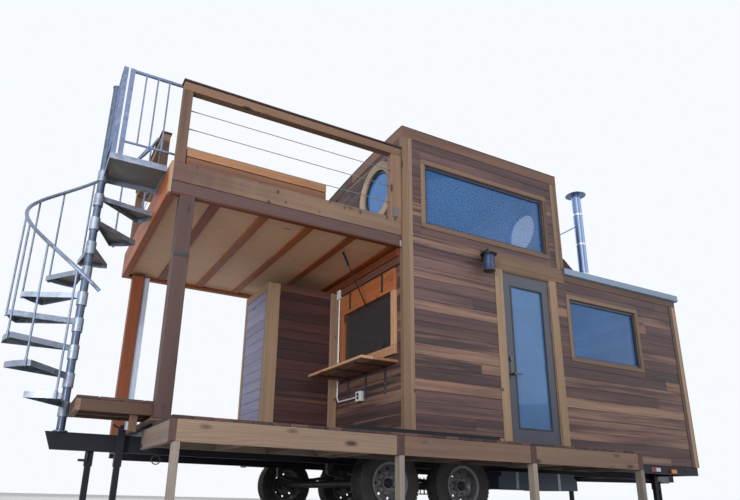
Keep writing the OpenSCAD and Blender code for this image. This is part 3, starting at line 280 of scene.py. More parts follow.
across = vector_node(grained, "MULTIPLY", vector_node(grained, "ADD", pith, bent), (0.0, 1.0, 1.0))
distance = node(grained, "ShaderNodeVectorMath", {0: across}, operation="LENGTH")["Value"]
ring_count = plus(grained, math_node(grained, "DIVIDE", distance, given["Ring"]), times(grained, knot_near, 1.6))
saw = node(grained, "ShaderNodeMath", {0: ring_count}, operation="FRACT")[0]
fibre = noise(grained, vector_node(grained, "MULTIPLY", grain_place, (5, 260, 260)), 1.0, 4.0)
fill(grained.nodes.new("NodeGroupOutput"), {
    "Figure": math_node(grained, "POWER", saw, 2.2),
    "Fibre": fibre,
    "Stain": noise(grained, vector_node(grained, "MULTIPLY", grain_place, (0.55, 15, 15)), 1.0, 5.0, 0.62),
    "Knot": math_node(grained, "POWER", times(grained, knot_near, 1.9, clamp=True), 2.0),
    "Height": plus(grained, times(grained, fibre, 0.6), times(grained, saw, 0.4))})


def wood(name, dark, middle, light, ring=0.011, knots=0.3, roughness=0.62, figure=0.5, spread=0.5, relief=0.25,
         coat=0.0, pale=None):
    """A sawn board's material: three tones that its own number picks from, growth rings, fibres and knots."""
    tree, shader = new_material(name)
    dark, middle, light = (srgb(*colour) for colour in (dark, middle, light))
    place, number = (node(tree, "ShaderNodeAttribute", {}, attribute_name=layer) for layer in ("grain", "board"))
    number = split(tree, "Color", number["Color"])
    grain = node(tree, "ShaderNodeGroup", {"Place": place["Vector"], "Ring": ring, "Knots": knots}, node_tree=grained)
    stain = times(tree, minus(tree, grain["Stain"], 0.5), spread * 2)
    base = ramp(tree, plus(tree, number[0], stain, clamp=True), (0.0, dark), (0.5, middle), (1.0, light))
    if pale:
        edge = plus(tree, times(tree, stain, 1.4), number[2], clamp=True)
        base = mixed(tree, times(tree, edge, math_node(tree, "GREATER_THAN", number[2], 0.02)), base,
                     (*srgb(*pale), 1))
    lined = darker(tree, times(tree, grain["Figure"], figure), base, (0.56, 0.47, 0.42))
    fibred = darker(tree, times(tree, grain["Fibre"], 0.55), lined, (0.62, 0.56, 0.52))
    warm = darker(tree, times(tree, number[1], 0.22), fibred, (1.12, 0.92, 0.78))
    fill(shader, {"Base Color": mixed(tree, grain["Knot"], warm, (*[c * 0.24 for c in dark], 1)),
                  "Roughness": plus(tree, times(tree, grain["Fibre"], 0.22), roughness - 0.11),
                  "Normal": bumps(tree, grain["Height"], relief, 0.002)})
    if coat:
        fill(shader, {"Coat Weight": coat, "Coat Roughness": 0.35})
    return tree


def wood_inside(name, along, pitch, *tones, **looks):
    """The same wood for a CAD part, as planks of a given width cut out of its own coordinates."""
    tree = wood(name, *tones, **looks)
    axes = split(tree, "XYZ", object_place(tree))
    run, rise, depth = {"x": (0, 2, 1), "y": (1, 2, 0)}[along]
    plank = math_node(tree, "FLOOR", math_node(tree, "DIVIDE", axes[rise], pitch), 0)
    chance = node(tree, "ShaderNodeTexWhiteNoise", {"W": plank}, noise_dimensions="1D")
    place = node(tree, "ShaderNodeCombineXYZ", {
        0: plus(tree, axes[run], times(tree, chance["Value"], 40)), 1: axes[depth],
        2: minus(tree, axes[rise], times(tree, plank, pitch))})[0]
    for link in [one for one in tree.links if one.from_node.type == "ATTRIBUTE"]:
        tree.links.new(place if link.from_node.attribute_name == "grain" else chance["Color"], link.to_socket)


# Each wood's dark, middle and light tone, then ring width, knots, roughness, figure, spread and relief, and where
# it has them a clear coat and the tone of its sapwood.
for name, *tones_and_looks in (
        ("siding_wood", (46, 30, 34), (82, 58, 60), (118, 90, 86), 0.016, 0.12, 0.6, 0.3, 1.0, 0.3, 0, (162, 128, 106)),
        ("closet_wood", (34, 17, 19), (60, 31, 32), (92, 54, 50), 0.016, 0.15, 0.55, 0.4, 0.8, 0.5, 0, (128, 92, 76)),
        # The closet's boards again, in blue-grey for its left side: a painted reflection of the sky on them.
        ("closet_painted_sky_sheen", (96, 96, 126), (122, 124, 158), (148, 150, 186), 0.016, 0.1, 0.5, 0.35, 0.6, 0.4),
        ("trim_wood", (104, 80, 62), (138, 112, 90), (174, 148, 120), 0.02, 0.2, 0.6, 0.3, 0.5, 0.25),
        ("frame_wood", (86, 64, 52), (116, 92, 74), (142, 118, 96), 0.02, 0.3, 0.6, 0.3, 0.5, 0.25),
        ("eave_wood", (66, 46, 40), (98, 70, 60), (126, 96, 80), 0.02, 0.4, 0.62, 0.4, 0.6, 0.3),
        ("closet_trim", (52, 30, 28), (82, 50, 42), (110, 74, 60), 0.02, 0.3, 0.6, 0.4, 0.5, 0.3),
        ("ring_wood", (128, 110, 92), (158, 138, 116), (180, 160, 136), 0.03, 0.1, 0.55, 0.3, 0.3, 0.2),
        ("door_paint", (36, 41, 60), (44, 50, 70), (53, 59, 80), 0.02, 0.0, 0.42, 0.12, 0.2, 0.12, 0.15),
        ("beam_tan", (84, 62, 52), (114, 90, 74), (142, 116, 96), 0.018, 0.95, 0.6, 0.4, 0.5, 0.35),
        ("beam_pink", (56, 38, 37), (80, 57, 54), (106, 80, 74), 0.018, 0.4, 0.6, 0.4, 0.35, 0.3),
        ("orange_wood", (96, 44, 18), (142, 72, 30), (176, 102, 50), 0.016, 0.45, 0.55, 0.4, 0.5, 0.3),
        ("plywood", (194, 152, 120), (210, 170, 138), (224, 188, 156), 0.09, 0.15, 0.65, 0.1, 0.3, 0.05),
        ("deck_wood", (46, 30, 31), (70, 48, 47), (98, 72, 66), 0.014, 0.3, 0.66, 0.5, 0.6, 0.4),
        ("rail_wood", (80, 57, 45), (112, 84, 66), (140, 110, 88), 0.014, 0.4, 0.6, 0.5, 0.5, 0.35),
        ("cap_wood", (34, 24, 26), (52, 38, 38), (74, 56, 54), 0.014, 0.2, 0.7, 0.4, 0.4, 0.4),
        ("planter_wood", (96, 62, 42), (136, 94, 64), (166, 124, 88), 0.014, 0.45, 0.6, 0.45, 0.5, 0.4),
        ("post_dark", (48, 31, 31), (70, 48, 46), (94, 68, 62), 0.018, 0.95, 0.6, 0.5, 0.45, 0.4),
        ("fascia_wood", (98, 72, 62), (128, 104, 88), (152, 132, 114), 0.016, 0.3, 0.62, 0.4, 0.5, 0.35),
        ("grey_wood", (74, 60, 52), (104, 88, 78), (140, 124, 112), 0.012, 0.4, 0.75, 0.5, 0.5, 0.5),
        ("step_dark", (44, 28, 27), (66, 44, 40), (92, 66, 58), 0.014, 0.3, 0.65, 0.5, 0.5, 0.4),
        ("leg_wood", (122, 114, 106), (146, 138, 130), (168, 160, 152), 0.012, 0.25, 0.75, 0.4, 0.35, 0.4),
        ("hatch_wood", (104, 54, 28), (152, 86, 46), (184, 118, 72), 0.02, 0.5, 0.5, 0.45, 0.6, 0.3, 0.1),
        ("counter_wood", (118, 76, 54), (156, 112, 82), (192, 154, 120), 0.02, 0.4, 0.5, 0.4, 0.5, 0.3, 0.1),
        ("hatch_tan", (136, 92, 66), (184, 142, 108), (210, 172, 138), 0.02, 0.4, 0.5, 0.4, 0.5, 0.3)):
    wood(name, *tones_and_looks)


def dress(material, *names):
    """Gives CAD parts their material."""
    for name in names:
        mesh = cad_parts[name].data
        mesh.materials.clear()
        mesh.materials.append(materials[material])


def add_prism(bm, outline, plane, near, far, along, tone=None, pale=0.0):
    """A board or panel with any outline, given along the wall and up, in plane y or x, between two depths."""
    front = bm.faces.new([bm.verts.new(at(u, near, z) if plane == "y" else at(near, u, z)) for u, z in outline])
    raised = bmesh.ops.extrude_face_region(bm, geom=[front], use_keep_orig=True)["geom"]
    verts = [part for part in raised if isinstance(part, bmesh.types.BMVert)]
    depth = Vector((0, (far - near) / 1000, 0) if plane == "y" else ((far - near) / 1000, 0, 0))
    bmesh.ops.translate(bm, verts=verts, vec=depth)
    mark_grain(bm, list(front.verts) + verts, along, tone, pale)


# The house's main lines, in millimetres from the tall room's porch corner and the ground. Both roofs are
# arched across the house, in short straight runs between knots, as in the CAD source.
TALL, TOTAL, WIDTH, TRIM = 2350, 4440, 2590, 20
TALL_TOP, LOW_TOP, ROOF_R, ROOF_T, KNOT = 4262, 2970, 14500, 80, 130
FASCIA_UP, FASCIA_H, LOW_FASCIA_H = 10, 136, 85
BIG_WINDOW = (284, 2100, 3108, 3855)
LOW_WINDOW = (2412, 3600, 1847, 2589)
DOOR = (1358, 2090, 780, 2750)
BELT = (2770, 2954)
HATCH = (130, 1388, 1620, 2570)
CLOSET = (-946, 1500, 2310, 765, 2645)
ROUND = (572, 3670, 291, 396)
RAIL_TOP, PORCH_Z, DECK_Z = 660, 765, 717


def knot_height(top, k, drop):
    return top - ROOF_R + math.sqrt((ROOF_R - drop) ** 2 - (k * KNOT) ** 2)


def arch(top, y, drop=0.0):
    k = math.floor(y / KNOT)
    t = y / KNOT - k
    return knot_height(top, k, drop) * (1 - t) + knot_height(top, k + 1, drop) * t


# Siding. Planed boards 118 mm high with narrow open joints, in random lengths, nailed level on every outer
# wall: dark purple-brown heartwood, with a few pale sapwood boards. They are cut round openings and trim.
ROW, ROW_START, BOARD_T, JOINT, LEAST = 121, 33, 14, 3, 8


def board_ends(low, high):
    """Where the boards of one row butt together."""
    ends, u = [low], low - cuts.uniform(0, 1500)
    while True:
        u += cuts.uniform(1700, 4300)
        if u > high - 250:
            break
        if u > low + 250:
            ends.append(u)
    return ends + [high]


def lay_siding(bm, plane, face, out, span, bottom, top, holes=(), disc=None, pale_rows=(), tone=(0.25, 0.68),
               ragged=0.3):
    """Lays rows of boards on one wall. top gives the height they reach at each place along the wall."""
    highest = max(top(span[0]), top(span[1]))
    for k in range(math.floor((bottom - ROW_START) / ROW), math.ceil((highest - ROW_START) / ROW)):
        low = max(bottom, ROW_START + ROW * k + JOINT / 2)
        high = ROW_START + ROW * (k + 1) - JOINT / 2
        if high - low < LEAST:
            continue
        ends = board_ends(*span)
        for start, stop in zip(ends, ends[1:]):
            shade = tone[0] + (tone[1] - tone[0]) * cuts.random()
            whitish = cuts.uniform(0.1, 0.3) if cuts.random() < ragged else 0.0
            for row, a, b, amount in pale_rows:
                if row == k and a <= (start + stop) / 2 <= b:
                    whitish = amount
            marks = {start + JOINT / 3, stop - JOINT / 3}
            for hole in holes:
                if hole[2] < high and hole[3] > low:
                    marks |= {u for u in hole[:2] if start < u < stop}
            ring = disc if disc and disc[1] - disc[2] < high and disc[1] + disc[2] > low else None
            if ring and start < ring[0] < stop:
                marks.add(ring[0])
            marks = sorted(marks)
            depth = out * (BOARD_T - cuts.uniform(0, 1.6))
            for u0, u1 in zip(marks, marks[1:]):
                free = [(low, high)]
                for hole in holes:
                    if hole[0] < (u0 + u1) / 2 < hole[1]:
                        free = [piece for z0, z1 in free
                                for piece in ((z0, min(z1, hole[2] - 1)), (max(z0, hole[3] + 1), z1))
                                if piece[1] - piece[0] > LEAST]
                for z0, z1 in free:
                    outline = board_outline(u0, u1, z0, z1, top, ring)
                    if outline:
                        add_prism(bm, outline, plane, face, face + depth, "x" if plane == "y" else "y", shade, whitish)


def board_outline(u0, u1, z0, z1, top, ring):
    """One board's outline, cut back from the roof's arch and from a round window."""
    def limit(z):
        gap = ring[2] ** 2 - (z - ring[1]) ** 2
        return math.sqrt(gap) if gap > 0 else 0
    heights = [z0 + (z1 - z0) * i / 6 for i in range(7)]
    right = left = None
    if ring and u1 <= ring[0] + 1:
        right = [(min(u1, ring[0] - limit(z)), z) for z in heights]
        if min(right)[0] < u0 + 6:
            return None
    elif ring and u0 >= ring[0] - 1:
        left = [(max(u0, ring[0] + limit(z)), z) for z in heights]
        if max(left)[0] > u1 - 6:
            return None
    if right and all(abs(u - u1) < 1e-6 for u, _ in right):
        right = None
    if left and all(abs(u - u0) < 1e-6 for u, _ in left):
        left = None
    if right or left:
        return [*(left or [(u0, z0)])[:1], *(right or [(u1, z0), (u1, z1)]), *((left or [(u0, z0), (u0, z1)])[:0:-1])]
    if top(u0) >= z1 and top(u1) >= z1:
        return [(u0, z0), (u1, z0), (u1, z1), (u0, z1)]
    kept = [u for u in (u0 + (u1 - u0) * i / 24 for i in range(25)) if top(u) > z0 + 6]
    if len(kept) < 2:
        return None
    return [(kept[0], z0), (kept[-1], z0)] + [(u, min(z1, top(u))) for u in reversed(kept)]


PINE, PLANK = ((150, 122, 92), (172, 144, 112), (190, 164, 130)), 0.14
wood_inside("inner_wood", "x", PLANK, *PINE, knots=0.2, relief=0.1)
wood_inside("inner_wood_across", "y", PLANK, *PINE, knots=0.2, relief=0.1)
dress("inner_wood", "front_wall_left", "front_wall_upper", "front_wall_right", "back_wall", "house_floor")
dress("inner_wood_across", "porch_wall", "loft_wall", "low_end_wall", "closet")


def level(z):
    return lambda u: z


def under_roof(top, drop):
    return lambda y: arch(top, y, drop) - 1


def around(window, width):
    return (window[0] - width, window[1] + width, window[2] - width, window[3] + width)


def side_piece(name, material, *walls):
    """One piece of siding, from the arguments of lay_siding for each wall or part of a wall."""
    bm = new_timber()
    for arguments, looks in walls:
        lay_siding(bm, *arguments, **looks)
    finish_piece(bm, name, material, 0.9)


FOOT, LOW_FOOT, BELT_FOOT, BELT_HEAD = 838, RAIL_TOP + 2, BELT[0] - 1, BELT[1] + 1
tall_face, low_face = (111, TALL - 96), (TALL, TOTAL - 117)
gable = (46, WIDTH - 46)
back_top = arch(TALL_TOP, WIDTH) + FASCIA_UP - FASCIA_H - 1
low_top = [arch(LOW_TOP, y, ROOF_T) - LOW_FASCIA_H - 1 for y in (TRIM, WIDTH + TRIM)]
side_piece(
    "front_siding", "siding_wood",
    (("y", 0, -1, (111, 1240), FOOT, level(BELT_FOOT)),
     {"holes": [(1114, 1400, BELT_FOOT, BELT_HEAD)],
      "pale_rows": [(13, 100, 1300, 0.45), (10, 100, 1300, 0.5), (12, 600, 1300, 0.3), (17, 700, 1300, 0.4)]}),
    (("y", 0, -1, (111, 1114), BELT[0], level(BELT[1])), {}),
    (("y", 0, -1, tall_face, BELT_HEAD, level(TALL_TOP + FASCIA_UP - FASCIA_H - 1)),
     {"holes": [around(BIG_WINDOW, 57)]}),
    (("y", 0, -1, (2208, low_face[1]), LOW_FOOT, level(low_top[0])),
     {"holes": [around(LOW_WINDOW, 49), (2208, 2352, BELT_FOOT, 2960)],
      "pale_rows": [(10, 2200, 3400, 0.5), (9, 2700, 4300, 0.35), (7, 2200, 3400, 0.45), (13, 3600, 4400, 0.4)]}))
side_piece(
    "back_siding", "siding_wood",
    (("y", WIDTH, 1, (111, TALL - 1), FOOT, level(BELT[1])), {}),
    (("y", WIDTH, 1, (1245, TALL - 1), LOW_FOOT, level(FOOT)), {}),
    (("y", WIDTH, 1, tall_face, BELT_HEAD, level(back_top)), {"holes": [around(BIG_WINDOW, 57)]}),
    (("y", WIDTH, 1, low_face, LOW_FOOT, level(low_top[1])), {"holes": [around(LOW_WINDOW, 49)]}))
side_piece(
    "porch_siding", "siding_wood",
    (("x", 0, -1, gable, PORCH_Z + 2, under_roof(TALL_TOP, FASCIA_H - FASCIA_UP)),
     {"holes": [(HATCH[0] - 9, HATCH[1] + 9, HATCH[2] - 8, HATCH[3] + 8),
                (CLOSET[1] - 20, CLOSET[2], 0, CLOSET[4] + 1)],
      "disc": (*ROUND[:2], 345), "tone": (0.15, 0.55),
      "pale_rows": [(11, 0, 1500, 0.3), (9, 0, 1500, 0.35), (10, 0, 1500, 0.2)]}))
side_piece(
    "loft_siding", "siding_wood",
    (("x", TALL, 1, gable, 2600, under_roof(TALL_TOP, FASCIA_H - FASCIA_UP)),
     {"holes": [(238, 902, 0, 3262), (0, WIDTH, 0, LOW_TOP - 150)], "disc": (*ROUND[:2], 345)}))
side_piece("end_siding", "siding_wood", (("x", TOTAL, 1, gable, LOW_FOOT, under_roof(LOW_TOP, ROOF_T)), {}))
side_piece(
    "closet_siding", "closet_wood",
    (("y", CLOSET[1], -1, (CLOSET[0] + 131, -131), PORCH_Z + 2, level(CLOSET[4] - 91)),
     {"pale_rows": [(13, -300, 0, 0.5)], "ragged": 0.05}),
    (("y", CLOSET[2], 1, (CLOSET[0] + 1, -1), PORCH_Z + 2, level(CLOSET[4] - 1)), {"ragged": 0.05}))
# The closet's left side wears its boards in blue-grey, a painted reflection of the sky on their faces.
side_piece(
    "closet_side_siding", "closet_painted_sky_sheen",
    (("x", CLOSET[0], -1, (CLOSET[1] + 61, CLOSET[2] - 61), PORCH_Z + 2, level(CLOSET[4] - 91)), {"ragged": 0.0}))

# Trim boards. Planed tan softwood, 20 mm thick, nailed over the siding's ends: corner boards, straight and
# arched boards under the roofs, a belt over the door, and frames round the door and the windows.
def add_spots(name, pitch, kept, size, colour=(44, 30, 30)):
    """Small dark knots and nail stains over a wood: pitch is how many places a metre along x, y and z."""
    tree = materials[name].node_tree
    shader = tree.nodes["Principled BSDF"]
    chosen, near = soft_dots(tree, object_place(tree), pitch, kept, size)
    dark = times(tree, times(tree, near, 1.7, clamp=True), chosen)
    base = shader.inputs["Base Color"].links[0].from_socket
    fill(shader, {"Base Color": mixed(tree, dark, base, (*srgb(*colour), 1))})


add_spots("trim_wood", (7, 7, 6), 0.4, 6.5)


def arch_outline(y0, y1, top, upper, lower):
    places = [y0] + [k * KNOT for k in range(math.floor(y0 / KNOT) + 1, math.ceil(y1 / KNOT))] + [y1]
    return [(y, arch(top, y, upper)) for y in places] + [(y, arch(top, y, lower)) for y in reversed(places)]


def window_boards(window, width):
    x0, x1, z0, z1 = window
    return [(window_trim, x0 - width, -TRIM, z1, x1 + width, 0, z1 + width, "x"),
            (window_trim, x0 - width, -TRIM, z0 - width, x1 + width, 0, z0, "x"),
            (window_trim, x0 - width, -TRIM, z0 + 0.5, x0, 0, z1 - 0.5, "z"),
            (window_trim, x1, -TRIM, z0 + 0.5, x1 + width, 0, z1 - 0.5, "z")]


trim, eaves, window_trim = new_timber(), new_timber(), new_timber()
for far in (False, True):
    tall_z = (arch(TALL_TOP, WIDTH) if far else TALL_TOP) + FASCIA_UP - FASCIA_H
    low_z = arch(LOW_TOP, WIDTH + TRIM if far else TRIM, ROOF_T) - 0.3 - LOW_FASCIA_H
    for bm, x0, y0, z0, x1, y1, z1, along, *tone in (
            (eaves, -TRIM, -TRIM, tall_z, TALL + TRIM, 0, tall_z + FASCIA_H, "x"),
            (eaves, TALL, -TRIM, low_z, TOTAL + TRIM, 0, low_z + LOW_FASCIA_H, "x"),
            (trim, 0, -TRIM, 835, 58, 0, tall_z - 1, "z", 0.2),
            (trim, 60, -TRIM, 835, 110, 0, tall_z - 1, "z", 0.55),
            (trim, -TRIM, -TRIM + 1, 835, -0.5, 45, tall_z - 1, "z", 0.3),
            (trim, TALL - 95, -TRIM, BELT_HEAD, TALL - 38, 0, tall_z - 1, "z", 0.45),
            (trim, TALL - 37, -TRIM, BELT_HEAD, TALL, 0, tall_z - 1, "z", 0.1),
            (trim, TALL + 0.5, -TRIM + 1, 2975, TALL + TRIM, 45, tall_z - 1, "z"),
            (eaves, TOTAL - 116, -TRIM, RAIL_TOP + 1, TOTAL - 56, 0, low_z - 1, "z", 0.4),
            (trim, TOTAL - 55, -TRIM, RAIL_TOP + 1, TOTAL, 0, low_z - 1, "z", 1.0),
            (trim, TOTAL + 0.5, -TRIM + 1, RAIL_TOP + 1, TOTAL + TRIM, 45, low_z - 1, "z"),
            *window_boards(BIG_WINDOW, 56), *window_boards(LOW_WINDOW, 48)):
        if far:
            y0, y1 = WIDTH - y1, WIDTH - y0
        add_board(bm, (x0, y0, z0), (x1, y1, z1), along, *tone)
add_boards(trim, (DOOR[0] - 243, -TRIM, BELT[0], TALL, 0, BELT[1], "x", 0.15),
           (DOOR[0] - 117, -TRIM, 721, DOOR[0] - 4, 0, BELT[0] - 0.5, "z", 0.75),
           (DOOR[1] + 4, -TRIM, 721, DOOR[1] + 117, 0, BELT[0] - 0.5, "z", 0.7),
           (DOOR[0] - 4, -TRIM + 2, DOOR[3] + 4, DOOR[1] + 4, 0, BELT[0] - 0.5, "x"))
for x in (-TRIM, TALL):
    for y0, y1 in ((0.5, 1180), (1181, WIDTH - 0.5)):
        outline = arch_outline(y0, y1, TALL_TOP, -FASCIA_UP, FASCIA_H - FASCIA_UP)
        add_prism(eaves, outline, "x", x + 0.5, x + TRIM - 0.5, "y")
finish_piece(eaves, "eave_boards", "eave_wood", 1.2)
finish_piece(window_trim, "window_boards", "frame_wood", 1.2)

# The closet's own trim. One wide softwood board at its front corner, narrow ones at the other corners and over
# its side, nailed over the siding's ends, and a dark head board.
for low, high, along in (
        ((-966, 1480, PORCH_Z + 1), (-816, 1500, 2645), "z"), ((-966, 1501, PORCH_Z + 1), (-946, 1560, 2645), "z"),
        ((-966, 2250, PORCH_Z + 1), (-946, 2310, 2645), "z"), ((-130, 1480, PORCH_Z + 1), (-20, 1500, 2645), "z"),
        ((-966, 1561, 2555), (-946, 2249, 2645), "y")):
    add_board(trim, low, high, along, tone=cuts.uniform(0.4, 0.8))
finish_piece(trim, "trim_boards", "trim_wood", 1.2, ["house_trim"])
piece_of_boards("closet_head", "closet_trim", 1.2, [
    (-815, 1480, 2555, -131, 1500, 2645, "x", 0.6), (-34, 46, 2592, -14.5, 1478, 2678, "y", 0.7)])

# Rings round the two round windows. Each is four pale curved pieces of wood, 20 mm thick, that meet with open
# joints and are nailed on over the siding's ends.
rings = new_timber()
for x in (-TRIM, TALL):
    for quarter in range(4):
        turns = [math.radians(45 + 90 * quarter + 0.3 + 89.4 * i / 24) for i in range(25)]
        outline = [(ROUND[0] + ROUND[3] * math.cos(a), ROUND[1] + ROUND[3] * math.sin(a)) for a in turns]
        outline += [(ROUND[0] + ROUND[2] * math.cos(a), ROUND[1] + ROUND[2] * math.sin(a)) for a in reversed(turns)]
        add_prism(rings, outline, "x", x, x + TRIM, "y" if quarter % 2 == 0 else "z")
finish_piece(rings, "window_rings", "ring_wood", 1.2)

# Windows. Plain dark aluminium frames set a little behind the wall's face, with bluish panes that show the rooms
# behind them a little; their blue is a painted reflection of the sky. The pane under the porch roof is darker
# with painted shade from the porch's ceiling, and lets less through.
def metal(name, colour, roughness=0.4, metallic=0.0, specks=0.15, scale=30, coat=0.0, dirt=None, bump=0.0):
    """Painted or bare metal with faint cloudy changes of colour and sheen."""
    tree, shader = new_material(name)
    place = object_place(tree)
    cloud, fine = noise(tree, place, scale / 10, 6.0), noise(tree, place, scale * 6, 3.0)
    dark = tuple(c * (1 - specks) for c in colour)
    pale = tuple(min(1, c * (1 + specks) + 0.01) for c in colour)
    base = ramp(tree, plus(tree, times(tree, cloud, 0.7), times(tree, fine, 0.3)), (0.3, dark), (0.7, pale))
    if dirt:
        low = math_node(tree, "POWER", noise(tree, place, scale / 4, 8.0, 0.7), 3.0)
        base = mixed(tree, times(tree, low, 2.2, clamp=True), base, (*dirt, 1))
    fill(shader, {"Base Color": base, "Metallic": metallic,
                  "Roughness": plus(tree, times(tree, cloud, 0.24), roughness - 0.12, clamp=True)})
    if bump:
        fill(shader, {"Normal": bumps(tree, fine, bump)})
    if coat:
        fill(shader, {"Coat Weight": coat, "Coat Roughness": 0.15})
    return shader


def pane(name, colour, roughness=0.02, solid=0.8):
    """Window glass: a dim room shows through it a little; its blue is a painted sky reflection, with a film of dust."""
    tree, shader = new_material(name)
    dust = noise(tree, object_place(tree), 1.6, 5.0)
    fill(shader, {"Base Color": ramp(tree, dust, (0.3, tuple(c * 0.75 for c in colour)), (0.7, colour)),
                  "Roughness": plus(tree, times(tree, dust, 0.03), roughness),
                  "IOR": 1.5, "Specular Tint": (0.45, 0.65, 1.0, 1), "Alpha": solid})
    return tree, shader


PORCH_CEILING = 2.7
metal("window_metal", srgb(36, 40, 58), 0.42)
dress("window_metal", "window_frames")
# The blue of the house's panes is a painted reflection of the sky.
tree, shader = pane("house_glass", srgb(72, 128, 194), solid=0.38)
axes = split(tree, "XYZ", object_place(tree))
porch_side = math_node(tree, "LESS_THAN", axes[0], at(60, 0, 0).x)
# Painted shade: the pane under the porch's ceiling is mixed toward dark grey, for the shade the ceiling casts on it.
porch_painted_shade = times(tree, porch_side, math_node(tree, "LESS_THAN", axes[2], PORCH_CEILING))
base = shader.inputs["Base Color"].links[0].from_socket
fill(shader, {"Base Color": mixed(tree, porch_painted_shade, base, (*srgb(56, 52, 52), 1)),
              "Alpha": plus(tree, times(tree, porch_side, 0.45), 0.38)})
dress("house_glass", "window_glass")

# Entrance door. A slate-painted leaf of stiles and rails round one tall pane, with a dark beading, black
# fittings and an aluminium sill. It hangs on its right edge and opens into the house.
LEAF, LITE, BEAD = (1369, 2085, 786, 2745), (1474, 1980, 946, 2605), 16
door_panel = new_timber()
for x0, x1 in ((LEAF[0], LITE[0]), (LITE[1], LEAF[1])):
    add_board(door_panel, (x0, 2, LEAF[2]), (x1, 47, LEAF[3]), "z", 0.5)
for z0, z1 in ((LEAF[2], LITE[2]), (LITE[3], LEAF[3])):
    add_board(door_panel, (LITE[0] + 0.4, 2.4, z0), (LITE[1] - 0.4, 46.6, z1), "x", 0.45)
finish_piece(door_panel, "door_boards", "door_paint", 1.5, ["door_leaf"], "entrance_door")
bead = new_timber()
for y0, y1 in ((-2, 10), (39, 51)):
    for x0, x1 in ((LITE[0], LITE[0] + BEAD), (LITE[1] - BEAD, LITE[1])):
        add_board(bead, (x0, y0, LITE[2] + BEAD), (x1, y1, LITE[3] - BEAD), "z")
    for z0, z1 in ((LITE[2], LITE[2] + BEAD), (LITE[3] - BEAD, LITE[3])):
        add_board(bead, (LITE[0], y0, z0), (LITE[1], y1, z1), "x")
metal("hinge_iron", srgb(44, 45, 50), 0.4, metallic=0.5)
for z in (LEAF[2] + 200, (LEAF[2] + LEAF[3]) / 2, LEAF[3] - 200):
    knuckle = bmesh.ops.create_cone(bead, cap_ends=True, segments=24, radius1=0.012, radius2=0.012, depth=0.030,
                                    matrix=Matrix.Translation(at(2077, 62, z)))["verts"]
    mark_grain(bead, knuckle, "z")
    add_board(bead, (2065, 46, z - 15), (2073, 62, z + 15), "z")
finish_piece(bead, "door_bead", "hinge_iron", 0.8, (), "entrance_door")
pane("door_pane", srgb(92, 132, 182), solid=0.75)
metal("handle_black", srgb(18, 18, 20), 0.32, coat=0.3)
metal("sill_metal", srgb(150, 150, 150), 0.35, metallic=0.9)
dress("door_pane", "door_glass")
dress("hinge_iron", "door_hinges")
dress("handle_black", "door_handle")
piece_of_boards("door_sill", "sill_metal", 1.0, [
    (DOOR[0] - 3, -28, 764, DOOR[1] + 3, -0.5, 779, "x")])
piece_of_boards("sill_board", "eave_wood", 1.0, [
    (DOOR[0] - 3, -TRIM, 721, DOOR[1] + 3, -0.5, 763, "x", 0.2)])

# Roof deck. Edge beams of two boards one above the other, joists and ceiling battens in stained softwood,
# a plywood ceiling over the porch, and deck boards on top. All of it is carried by the two porch posts.
DECK_END, DECK_BACK, DECK_UNDER, DECK_TOP, DECK_WALL = -2520, 2650, 2770, 3093, -22
tree = materials["beam_tan"].node_tree
shader = tree.nodes["Principled BSDF"]
drips = noise(tree, vector_node(tree, "MULTIPLY", object_place(tree), (9, 9, 1.2)), 1.0, 4.0)
soaked = plus(tree, times(tree, split(tree, "XYZ", object_place(tree))[0], -0.95),
              minus(tree, times(tree, drips, 1.1), 2.75), clamp=True)
base = shader.inputs["Base Color"].links[0].from_socket
fill(shader, {"Base Color": darker(tree, soaked, base, (0.52, 0.42, 0.50))})
add_spots("beam_tan", (11, 11, 8), 0.6, 4.2)
piece_of_boards("roof_deck_front_beam", "beam_tan", 2.5, [
    (DECK_END + 26, 0, 2899, DECK_WALL, 76, DECK_TOP, "x", 0.6)])
piece_of_boards("roof_deck_front_board", "beam_pink", 2.5, [
    (DECK_END + 26, 5, DECK_UNDER + 10, DECK_WALL, 76, 2897, "x", 0.5)])
piece_of_boards("beam_end_strip", "trim_wood", 2.0, [
    (DECK_END, -2, DECK_UNDER + 1, DECK_END + 25, 76, DECK_TOP - 1, "z", 0.8)])
beams = new_timber()
add_boards(beams, (DECK_END + 26, 8, DECK_UNDER, DECK_WALL, 74, DECK_UNDER + 9.5, "x", 0.1),
           (DECK_END, DECK_BACK - 76, DECK_UNDER, DECK_WALL, DECK_BACK, DECK_TOP, "x", 0.4),
           (DECK_END, 77, DECK_UNDER, DECK_END + 76, DECK_BACK - 77, 2905, "y", 0.7),
           (DECK_END, 77, 2908, DECK_END + 76, DECK_BACK - 77, DECK_TOP, "y", 0.45))
for i in range(5):
    x = -72 - 494 * i
    add_board(beams, (x - 19, 77, 2822), (x + 19, DECK_BACK - 77, 2974), "y")
    add_board(beams, (x - 44.5, 77, 2790), (x + 44.5, DECK_BACK - 77, 2808.5), "y", tone=cuts.uniform(0.3, 0.9))
add_spots("orange_wood", (6, 6, 6), 0.35, 6.0, (48, 22, 14))
finish_piece(beams, "roof_deck_beams", "orange_wood", 2.0, ["roof_deck_frame", "ceiling_battens"])
sheets = new_timber()
for y0, y1 in ((77, 1218), (1221, 2440), (2443, DECK_BACK - 77)):
    add_board(sheets, (DECK_END + 77, y0, 2809), (-21, y1, 2820.5), "x", tone=cuts.uniform(0.35, 0.7))
    add_board(sheets, (DECK_END + 77, y0, 2976), (-21, y1, 2994), "x")
finish_piece(sheets, "ceiling_sheets", "plywood", 0.0, ["porch_ceiling"])


